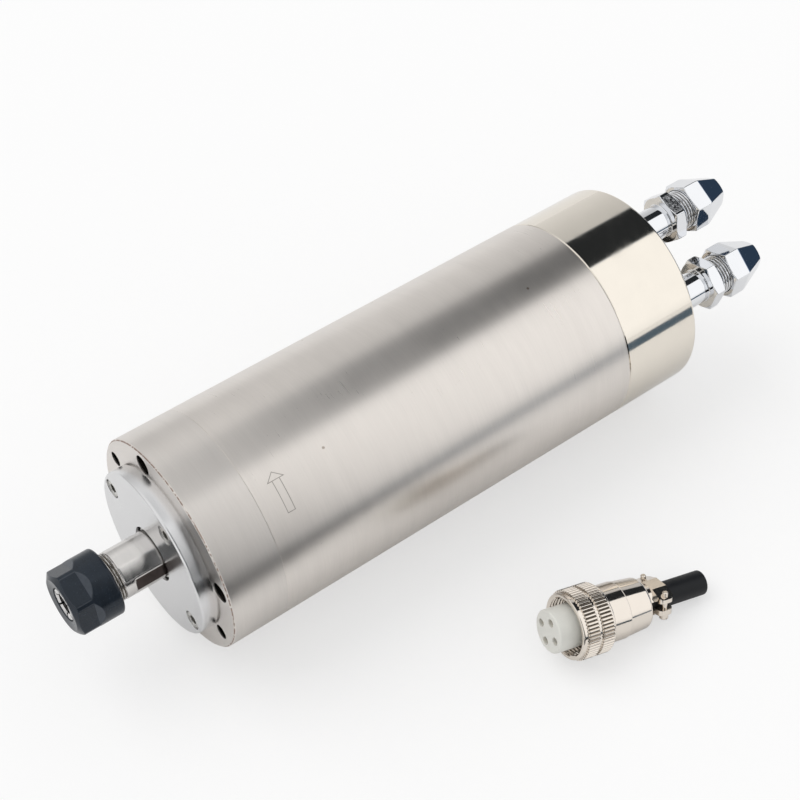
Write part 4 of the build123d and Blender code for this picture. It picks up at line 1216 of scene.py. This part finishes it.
@dataclass
class ColletChuck:
    """The collet and the blackened clamping nut with its six milled flats."""

    face: float = -31.9
    length: float = 13.2
    radius: float = 9.5
    face_radius: float = 7.6
    chamfer: float = 1.2
    flat_distance: float = 8.5
    flat_length: float = 5.6
    flats_round: float = 0.12
    runout: float = 1.7
    corner_angle: float = 83.5
    opening: float = 4.85
    dish: float = 0.38
    # mask on the flats' run-out slopes: a painted reflection that lightens them
    slope_sheen: float = 0.85
    lip: float = 4.4
    lip_span: Pair = (1.32, 1.95)
    bore: float = 7.02
    bore_front: float = -27.2
    shaft_front: float = -26.9
    cone: float = 5.85
    cone_angle: float = 30.0
    margin: float = 0.3
    edge: float = 0.14
    step: float = 0.16
    angles: int = 216

    def corners(self) -> list[Triple]:
        """List the nut's meridian corners: face, chamfer, skirt, and the bore back to the lip.

        Returns:
            Station, radius and fillet of each corner.
        """
        end = self.face + self.length
        lip_start, lip_end = (node_start("collet") - NOSE_X + depth for depth in self.lip_span)
        cone_start = self.cone - (self.shaft_front - lip_end) * math.tan(math.radians(self.cone_angle))
        return [
            (self.face + self.dish, self.opening, 0.12), (self.face, self.face_radius, 0.25),
            (self.face + self.chamfer, self.radius, 0.30), (end, self.radius, 0.7),
            (end, self.bore + 0.4, 0.1), (end - 0.4, self.bore, 0.1), (self.bore_front, self.bore, 0.0),
            (self.bore_front, self.cone, 0.0), (self.shaft_front, self.cone, 0.0),
            (lip_end, cone_start, 0.0), (lip_end, self.lip, 0.05), (lip_start, self.lip, 0.05),
            (lip_start, self.opening, 0.0),
        ]

    def nut(self) -> bpy.types.Object:
        """Make the nut: its outline cut by six flats that run out in a slope.

        Formula: the flats stand at their distance up to the end of the flats and climb past the
        skirt's radius over the run-out; the surface is the rounded smaller of the two.

        Returns:
            The nut.
        """
        station, radius = rounded_outline(self.corners(), self.step).T[:, :, None]
        middles, angle = hexagon(self.corner_angle, self.angles)
        flat_end = self.face + self.flat_length
        climb = np.clip((station - flat_end) / self.runout, 0.0, 2.0) * (self.radius - self.flat_distance)
        reach, corner = flats_reach(angle, middles, self.flat_distance, self.flats_round)
        reach = reach + climb
        outside = radius > self.face_radius - self.margin
        outside = outside & (station < self.face + self.length - self.margin)
        carved, wear_and_sheen = blend_min(radius, reach, self.edge)
        on_flat = reach < radius
        # edges between the flats: wear and a painted highlight
        wear_and_sheen = np.maximum(wear_and_sheen, corner * on_flat * (station < flat_end))
        # painted reflection: the whole run-out slope of each flat is lightened
        wear_and_sheen = np.maximum(wear_and_sheen, on_flat * (station > flat_end) * self.slope_sheen)
        field_radius = np.where(outside, carved, radius)
        points = SPINDLE.place(station, field_radius, angle)
        return grid_piece("clamping_nut", points, np.where(outside, wear_and_sheen, 0.0))

    def build(self) -> None:
        """Make the nut and dress the collet."""
        nut = dress(self.nut(), BLACK_NUT, SPINDLE)
        stand_for(nut, "collet_nut", "collet_nut")
        dress_nodes({"collet": COLLET_STEEL, "collet_nut": SPRING_STEEL}, SPINDLE)


class Port(Enum):
    """The two water connections."""

    INLET = "inlet"
    OUTLET = "outlet"


@dataclass
class WaterFitting:
    """One hose fitting, a stem with a hexagon collar and a threaded neck, and its dome nut."""

    port: Port
    collar_corner: float
    nut_corner: float
    pitted_flat: Optional[float] = None
    stem_radius: float = 5.0
    stem_end: float = 171.5
    collar_length: float = 3.9
    across: float = 14.0
    crown: float = 0.05
    chamfer: float = 0.55
    neck_radius: float = 5.9
    neck_length: float = 4.1
    thread_pitch: float = 1.0
    thread_depth: float = 0.45
    thread_length: float = 4.5
    thread_start: Pair = (0.5, 0.9)
    thread_fade: float = 0.5
    spigot_radius: float = 1.95
    spigot_length: float = 7.8
    bore: float = 1.3
    prism_length: float = 5.5
    taper_length: float = 6.6
    taper_limit: float = 1.3
    shoulder: float = 0.7
    shoulder_radius: float = 5.25
    tip_radius: float = 4.65
    tip_length: float = 1.5
    tip_distance: float = 4.62
    hose_radius: float = 3.1
    seat_slope: float = 1.2
    nut_bore: float = 6.02
    margin: float = 0.3
    collar_round: float = 0.12
    nut_round: float = 0.22
    edge: float = 0.16
    step: float = 0.20
    thread_step: float = 0.13
    body_angles: int = 112
    nut_angles: int = 168

    def axle(self) -> Axle:
        """Return the fitting's axis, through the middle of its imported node."""
        _, y, z = node_centre(f"{self.port.value}_fitting")
        return Axle(origin=(NOSE_X, float(y), float(z)))

    def hexagon_corners(self, start: float, end: float, last: float) -> list[Triple]:
        """List the meridian corners of a chamfered hexagon.

        Args:
            start: Station where it starts.
            end: Station where its outline ends.
            last: Fillet at that end.

        Returns:
            Station, radius and fillet of each corner.
        """
        crest = self.across / math.sqrt(3.0) + self.crown
        return [(start, self.across / 2.0, 0.15), (start + self.chamfer, crest, 0.2), (end, crest, last)]

    def body(self) -> bpy.types.Object:
        """Make the stem, collar and neck as one outline cut by six flats at the collar.

        Formula: the collar's flats are their distance over the cosine; on the neck the radius loses
        depth * thread.

        Returns:
            The fitting's body.
        """
        start = node_start(f"{self.port.value}_fitting") - NOSE_X
        collar_end = self.stem_end + self.collar_length
        nut_start = collar_end + self.neck_length
        neck_end = nut_start + self.thread_length
        spigot_end = nut_start + self.spigot_length
        half = self.across / 2.0
        outline = rounded_outline([
            (start, self.bore, 0.0), (start, self.stem_radius, 0.5), (self.stem_end, self.stem_radius, 0.25),
            *self.hexagon_corners(self.stem_end, collar_end - self.chamfer, 0.2), (collar_end, half, 0.15),
            (collar_end, self.neck_radius - 0.25, 0.15), (collar_end + 0.6, self.neck_radius, 0.1),
            (neck_end, self.neck_radius, 0.4), (neck_end, self.spigot_radius, 0.2),
            (spigot_end, self.spigot_radius, 0.3), (spigot_end, self.bore, 0.1),
        ], self.step)
        station, radius = refine(outline, (collar_end, neck_end), self.thread_step).T
        middles, angle = hexagon(self.collar_corner, self.body_angles)
        reach, _ = flats_reach(angle, middles, half, self.collar_round)
        collar = (station > self.stem_end - 0.01) & (station < collar_end + 0.01)
        collar = collar & (radius > half - self.margin)
        carved, _ = blend_min(radius[:, None], reach, self.edge)
        first, full = self.thread_start
        threaded = ramp(station, collar_end + first, collar_end + full)
        threaded = threaded * (1.0 - ramp(station, neck_end - self.thread_fade, neck_end))
        threaded = threaded * (radius > self.neck_radius - self.margin)
        valley = threaded[:, None] * thread_valley(station, angle, self.thread_pitch)
        field_radius = np.where(collar[:, None], carved, radius[:, None] - valley * self.thread_depth)
        points = self.axle().place(station[:, None], field_radius, angle)
        # the thread's valleys in the mask get painted shade from the plating
        return grid_piece(f"{self.port.value}_stem", points, valley)

    def dome_nut(self) -> bpy.types.Object:
        """Make the dome nut: a hexagon that draws in, still six-sided, to a rounded end.

        Formula: the flats' distance is constant over the prism and falls in a straight line over the
        taper, with a parabola between the two, and the surface is the rounded smaller of the flats
        and the turned envelope.

        Returns:
            The nut.
        """
        start = self.stem_end + self.collar_length + self.neck_length
        prism_end = start + self.prism_length
        taper_end = prism_end + self.taper_length
        tip = taper_end + self.tip_length
        half = self.across / 2.0
        bore_end = start + self.thread_length + 1.0
        seat_end = bore_end + (self.nut_bore - self.hose_radius) / self.seat_slope
        station, radius = rounded_outline([
            (start, self.nut_bore, 0.15), *self.hexagon_corners(start, prism_end, 0.4),
            (taper_end, self.shoulder_radius, 0.5), (tip, self.tip_radius, 1.0), (tip, self.hose_radius, 0.2),
            (seat_end, self.hose_radius, 0.1), (bore_end, self.nut_bore, 0.1),
        ], self.step).T[:, :, None]
        middles, angle = hexagon(self.nut_corner, self.nut_angles)
        along = station - prism_end
        bend = (along + self.shoulder) ** 2 / (4.0 * self.shoulder)
        taper = np.where(np.abs(along) < self.shoulder, bend, np.where(along < 0.0, 0.0, along))
        taper = np.clip(taper / self.taper_length, 0.0, self.taper_limit)
        reach, _ = flats_reach(angle, middles, half - (half - self.tip_distance) * taper, self.nut_round)
        inside = (station < seat_end) & (radius < self.nut_bore + 0.2)
        outside = ~inside & (radius > self.tip_radius - 1.0)
        carved, _ = blend_min(radius, reach, self.edge)
        points = self.axle().place(station, np.where(outside, carved, radius), angle)
        return grid_piece(f"{self.port.value}_dome_nut", points)

    def build(self) -> None:
        """Make both pieces and let them ride on their bodies."""
        axle, side = self.axle(), self.port.value
        tag = f"_{side}"
        finish: Finish = CHROME
        if self.pitted_flat is not None:
            collar = (self.stem_end, self.stem_end + self.collar_length)
            finish = CastPlate("pitted_plate", CHROME.colour, CHROME.roughness, dark_angle=self.pitted_flat,
                               collar=collar)
        body = dress(self.body(), finish, axle, tag)
        stand_for(body, f"{side}_fitting", "housing")
        nut = dress(self.dome_nut(), CHROME, axle, tag)
        stand_for(nut, f"{side}_hose_nut", f"{side}_nut")
        dress_nodes({f"{side}_fitting": CHROME, f"{side}_hose_nut": CHROME}, axle, tag)


@dataclass
class CablePlug:
    """The loose plug: knurled coupling ring, shell with its cable clamp, insulator and rubber sleeve."""

    ring_middle: float = 10.45
    ring_start: float = 5.2
    ring_length: float = 10.5
    ring_radius: float = 9.8
    neck: float = 9.2
    lip: float = 1.5
    groove: Pair = (10.2, 11.2)
    tail: float = 14.8
    mouth: float = 0.3
    thread_radius: float = 7.97
    thread_end: float = 11.9
    thread_pitch: float = 1.0
    thread_depth: float = 0.42
    thread_fade: float = 0.5
    rear_bore: float = 6.58
    knurl_count: int = 60
    knurl_depth: float = 0.46
    knurl_flank: Pair = (0.30, 1.0)
    tooth_root: Pair = (0.05, 0.35)
    angles_per_tooth: int = 10
    bore_band: float = 0.05
    # share of the inner thread's valleys in the mask, where the plating gets painted shade
    ring_thread_shade: float = 0.8
    step: float = 0.23
    finishes: dict[str, Finish] = field(default_factory=lambda: {
        "coupling_ring": NICKEL,
        "plug_barrel": NICKEL,
        "plug_shell": NICKEL,
        "cable_clamp_saddle": SHARP_NICKEL,
        "cable_clamp_screws": SHARP_NICKEL,
        "plug_insulator": WHITE_INSULATOR,
        "plug_contacts": CONTACT_BRASS,
        "cable_sleeve": CABLE_RUBBER,
    })

    def coupling_ring(self, axle: Axle) -> bpy.types.Object:
        """Make the coupling ring with two straight-knurled bands and its inner thread.

        Formula: in a band the radius loses depth * valley(count * angle), a wave that is level on
        the teeth; in the bore it gains depth * thread.

        Args:
            axle: The plug's axis.

        Returns:
            The ring.
        """
        end = self.ring_start + self.ring_length
        mouth = self.ring_start + self.mouth
        ledges = (self.ring_start + self.lip, *self.groove, self.tail)
        outline = [
            (self.ring_start, self.thread_radius + self.mouth, 0.1), (self.ring_start, self.neck, 0.35),
        ]
        for rising, falling in (ledges[:2], ledges[2:]):
            outline += [
                (rising, self.neck, 0.05), (rising, self.ring_radius, 0.15),
                (falling, self.ring_radius, 0.15), (falling, self.neck, 0.05),
            ]
        outline += [
            (end, self.neck, 0.45), (end, self.rear_bore, 0.0), (self.thread_end, self.rear_bore, 0.0),
            (self.thread_end, self.thread_radius, 0.0), (mouth, self.thread_radius, 0.0),
        ]
        station, radius = rounded_outline(outline, self.step).T
        angle = np.linspace(0.0, FULL_TURN, self.knurl_count * self.angles_per_tooth, endpoint=False)
        root, top = self.tooth_root
        teeth = ramp(radius, self.neck + root, self.neck + top)
        valley = ramp(triangle_wave(self.knurl_count * angle / FULL_TURN), *self.knurl_flank)
        bore = np.abs(radius - self.thread_radius) < self.bore_band
        bore = bore * ramp(station, mouth, mouth + self.thread_fade)
        last = self.thread_end - self.mouth
        bore = bore * (1.0 - ramp(station, last - self.thread_fade, last))
        knurl = teeth[:, None] * valley
        thread = bore[:, None] * thread_valley(station, angle, self.thread_pitch)
        field_radius = radius[:, None] - knurl * self.knurl_depth + thread * self.thread_depth
        points = axle.place(station[:, None], field_radius, angle)
        # the mask marks the knurl and thread valleys for the plating's painted shade
        return grid_piece("knurled_ring", points, np.maximum(knurl, thread * self.ring_thread_shade))

    def build(self) -> None:
        """Make the ring and dress the rest of the plug."""
        axle = plug_axle()
        ring = dress(self.coupling_ring(axle), NICKEL, axle, "_plug")
        stand_for(ring, "coupling_ring", "coupling_ring")
        dress_nodes(self.finishes, axle, "_plug")


# ---------------------------------------------------------------- studio
@dataclass(frozen=True)
class Reflections:
    """What polished metal sees of the sky: wall, panel, and the dark gaps between the light panels.

    A turn is an angle around the spindle's axis in degrees, and a share is the part of a direction
    that points along the axis or up. A pair is where a smooth edge starts and ends.
    """

    nose_share: Pair = (0.27, 0.37)
    tail_wall: float = 0.81
    tail_wall_fall: float = 0.22
    tail_wall_turn: Pair = (-15.0, 55.0)
    nose_wall: float = 0.60
    nose_wall_rise: float = 0.34
    nose_wall_turn: Pair = (8.0, 50.0)
    panel: float = 1.12
    panel_fall: float = 0.13
    panel_fall_turn: Pair = (168.0, 184.0)
    panel_turn: Pair = (89.7, 92.3)
    panel_slant: float = 45.0
    panel_slant_share: float = 0.53
    top_gap_turn: Pair = (49.6, 52.4)
    top_gap_share: Pair = (0.24, 0.45)
    front_gap_turn: Triple = (108.0, 205.0, 6.0)
    front_gap_share: Triple = (0.10, 0.52, 0.06)
    side_gap_turn: Pair = (14.0, 24.0)
    side_gap_slant: float = 500.0
    side_gap_least: float = 90.0
    side_gap_start: Pair = (-0.05, 0.05)
    side_gap_end: float = 0.33
    side_gap_soft: float = 0.04
    tail_gap_share: Pair = (0.80, 0.92)
    tail_gap_up: Pair = (0.38, 0.50)
    gap_light: float = 0.026
    tail_gap_light: float = 0.05

    def seen(self, tree: Tree) -> tuple[Value, Value, Value]:
        """Paint the reflected sky by direction.

        Args:
            tree: The world's tree.

        Returns:
            Its strength, the share of all dark gaps and the share of the gap behind the tail.
        """
        direction = tree.node("ShaderNodeTexCoord", None, None, "Generated")
        along, side, up = (tree.vector("DOT_PRODUCT", direction, axis, "Value") for axis in UNIT_AXES)
        turn = tree.math("ARCTAN2", up, side) * (360.0 / FULL_TURN)
        nose = 1.0 - along.rise(*self.nose_share)
        tail_wall = self.tail_wall - turn.rise(*self.tail_wall_turn) * self.tail_wall_fall
        nose_wall = self.nose_wall + turn.rise(*self.nose_wall_turn) * self.nose_wall_rise
        wall = tail_wall * (1.0 - nose) + nose_wall * nose
        panel = self.panel - turn.rise(*self.panel_fall_turn) * self.panel_fall
        slant = (self.panel_slant_share - along).most(0.0) * self.panel_slant
        lit = (turn - slant).rise(*self.panel_turn)
        overhead = wall * (1.0 - lit) + panel * lit
        top_gap = turn.rise(*self.top_gap_turn) * (1.0 - lit) * along.rise(*self.top_gap_share)
        front_gap = turn.band(*self.front_gap_turn) * (-along).band(*self.front_gap_share)
        side_gap = (turn - (along * self.side_gap_slant).most(self.side_gap_least)).rise(*self.side_gap_turn)
        side_gap = side_gap * (self.side_gap_end - along).rise(0.0, self.side_gap_soft)
        side_gap = side_gap * along.rise(*self.side_gap_start)
        tail_gap = along.rise(*self.tail_gap_share) * (1.0 - up.rise(*self.tail_gap_up))
        shade = 1.0 - (1.0 - top_gap) * (1.0 - front_gap) * (1.0 - side_gap) * (1.0 - tail_gap)
        strength = overhead * (1.0 - shade) + self.gap_light * shade + self.tail_gap_light * tail_gap
        return strength, shade, tail_gap


@dataclass
class Studio:
    """A pale floor, a soft sky, one lamp and the camera."""

    floor_height: float = -31.0
    floor_half: float = 4000.0
    floor_colour: Triple = (0.90, 0.90, 0.90)
    cover_share: float = 0.5
    cover_strength: float = 1.08
    camera_place: Triple = (-189.4, -250.29, 360.32)
    camera_azimuth: float = -37.2
    camera_elevation: float = 48.5
    focal_pixels: float = 1709.0
    frame_pixels: float = 800.0
    sensor: float = 36.0
    lamp_turn: Pair = (-28.0, -22.0)
    lamp_angle: float = 50.0
    lamp_strength: float = 0.9
    plain_sky: float = 0.74
    reflections: Reflections = Reflections()
    gap_tint: Triple = (0.80, 0.90, 1.0)
    tail_gap_tint: Triple = (0.35, 0.60, 1.0)
    table_gap: tuple[Pair, ...] = (
        (-600.0, -1400.0), (90.0, -900.0), (200.0, -560.0), (1200.0, -570.0), (1200.0, -196.0),
        (100.0, -192.0), (40.0, -172.0), (-45.0, -105.0), (-600.0, -100.0),
    )
    table_gap_height: float = 0.4
    table_gap_colours: tuple[Triple, Triple] = ((0.012, 0.013, 0.015), (0.085, 0.125, 0.17))

    def floor(self) -> None:
        """Lay the floor, one quad, with a plain diffuse material that keeps the shadow."""
        half = self.floor_half
        floor, tree = flat_card("floor", ((-half, -half), (half, -half), (half, half), (-half, half)),
                                self.floor_height)
        camera = tree.node("ShaderNodeLightPath", None, None, "Is Camera Ray")
        diffuse = tree.node("ShaderNodeBsdfDiffuse", None, {"Color": colour_of(self.floor_colour)})
        cover = {"Color": colour_of(WHITE), "Strength": self.cover_strength}
        glow = tree.node("ShaderNodeEmission", None, cover)
        both = tree.node("ShaderNodeMixShader", None, {0: camera * self.cover_share, 1: diffuse, 2: glow})
        tree.node("ShaderNodeOutputMaterial", None, {"Surface": both})

    def table_edge(self) -> None:
        """Lay the dark gap at the front edge of the table, which only the metal sees."""
        strip, tree = flat_card("table_edge", self.table_gap, self.floor_height + self.table_gap_height)
        place = tree.node("ShaderNodeTexCoord", None, None, "Object")
        along = tree.vector("DOT_PRODUCT", place, UNIT_AXES[0], "Value")
        colour = tree.mix(along.rise(0.03, 0.12), *self.table_gap_colours)
        shader = tree.node("ShaderNodeBsdfDiffuse", None, {"Color": colour})
        tree.node("ShaderNodeOutputMaterial", None, {"Surface": shader})
        strip.visible_camera = strip.visible_diffuse = strip.visible_shadow = False

    def sky(self) -> None:
        """Light everything evenly, and let polished metal see panels with dark gaps between them."""
        world = bpy.data.worlds.new("studio")
        bpy.context.scene.world = world
        tree = Tree(world)
        seen, shade, tail_gap = self.reflections.seen(tree)
        glossy = tree.node("ShaderNodeLightPath", None, None, "Is Glossy Ray")
        camera = tree.node("ShaderNodeLightPath", None, None, "Is Camera Ray")
        plain = self.plain_sky + camera * (1.0 - self.plain_sky)
        strength = plain * (1.0 - glossy) + seen * glossy
        tint = tree.mix(shade * glossy, WHITE, self.gap_tint)
        tint = tree.mix(tail_gap * glossy, tint, self.tail_gap_tint)
        background = tree.node("ShaderNodeBackground", None, {"Color": tint, "Strength": strength})
        tree.node("ShaderNodeOutputWorld", None, {"Surface": background})

    def lamp(self) -> None:
        """Add one broad soft sun from the upper left for the shape of the pale and dark plastics."""
        light = bpy.data.lights.new("soft_sun", "SUN")
        light.energy = self.lamp_strength
        light.angle = math.radians(self.lamp_angle)
        lamp = bpy.data.objects.new("soft_sun", light)
        lamp.rotation_euler = (*map(math.radians, self.lamp_turn), 0.0)
        lamp.visible_glossy = False
        bpy.context.scene.collection.objects.link(lamp)

    def camera(self) -> None:
        """Stand the camera where the object is seen from the upper front left, level and unshifted."""
        azimuth, elevation = math.radians(self.camera_azimuth), math.radians(self.camera_elevation)
        look = Vector((-math.sin(azimuth) * math.cos(elevation), math.cos(azimuth) * math.cos(elevation),
                       -math.sin(elevation)))
        right = look.cross(Vector(UNIT_AXES[2])).normalized()
        data = bpy.data.cameras.new("camera")
        data.sensor_width = self.sensor
        data.lens = self.focal_pixels / self.frame_pixels * self.sensor
        data.clip_start = 0.01
        data.clip_end = 50.0
        camera = bpy.data.objects.new("camera", data)
        turned = Matrix((right, right.cross(look), -look)).transposed().to_4x4()
        turned.translation = Vector(self.camera_place) * MM
        camera.matrix_world = turned
        bpy.context.scene.collection.objects.link(camera)
        bpy.context.scene.camera = camera

    def build(self) -> None:
        """Set up the floor, the sky, the lamp and the camera."""
        bpy.context.scene.view_settings.view_transform = "Standard"
        for part in (self.floor, self.table_edge, self.sky, self.lamp, self.camera):
            part()


def flat_card(name: str, corners: Sequence[Pair], height: float) -> tuple[bpy.types.Object, Tree]:
    """Make a level face with an empty material of its own.

    Args:
        name: Name of the card; its material has the same one.
        corners: Its (x, y) corners in millimetres, listed so that it looks up.
        height: Its height in millimetres.

    Returns:
        The card and its material's tree.
    """
    mesh = bpy.data.meshes.new(name)
    mesh.from_pydata([(x * MM, y * MM, height * MM) for x, y in corners], [], [tuple(range(len(corners)))])
    card = bpy.data.objects.new(name, mesh)
    bpy.context.scene.collection.objects.link(card)
    material = bpy.data.materials.new(name)
    mesh.materials.append(material)
    return card, Tree(material)


def main() -> None:
    """Build the sub-assemblies in order, then the studio."""
    logging.basicConfig(level=logging.INFO, format="%(message)s")
    assemblies = (
        Housing(), Rotor(), ColletChuck(),
        WaterFitting(Port.INLET, collar_corner=13.8, nut_corner=27.2, pitted_flat=103.8),
        WaterFitting(Port.OUTLET, collar_corner=44.1, nut_corner=38.1),
        CablePlug(), Studio(),
    )
    for assembly in assemblies:
        assembly.build()


if __name__ == "__main__":
    main()
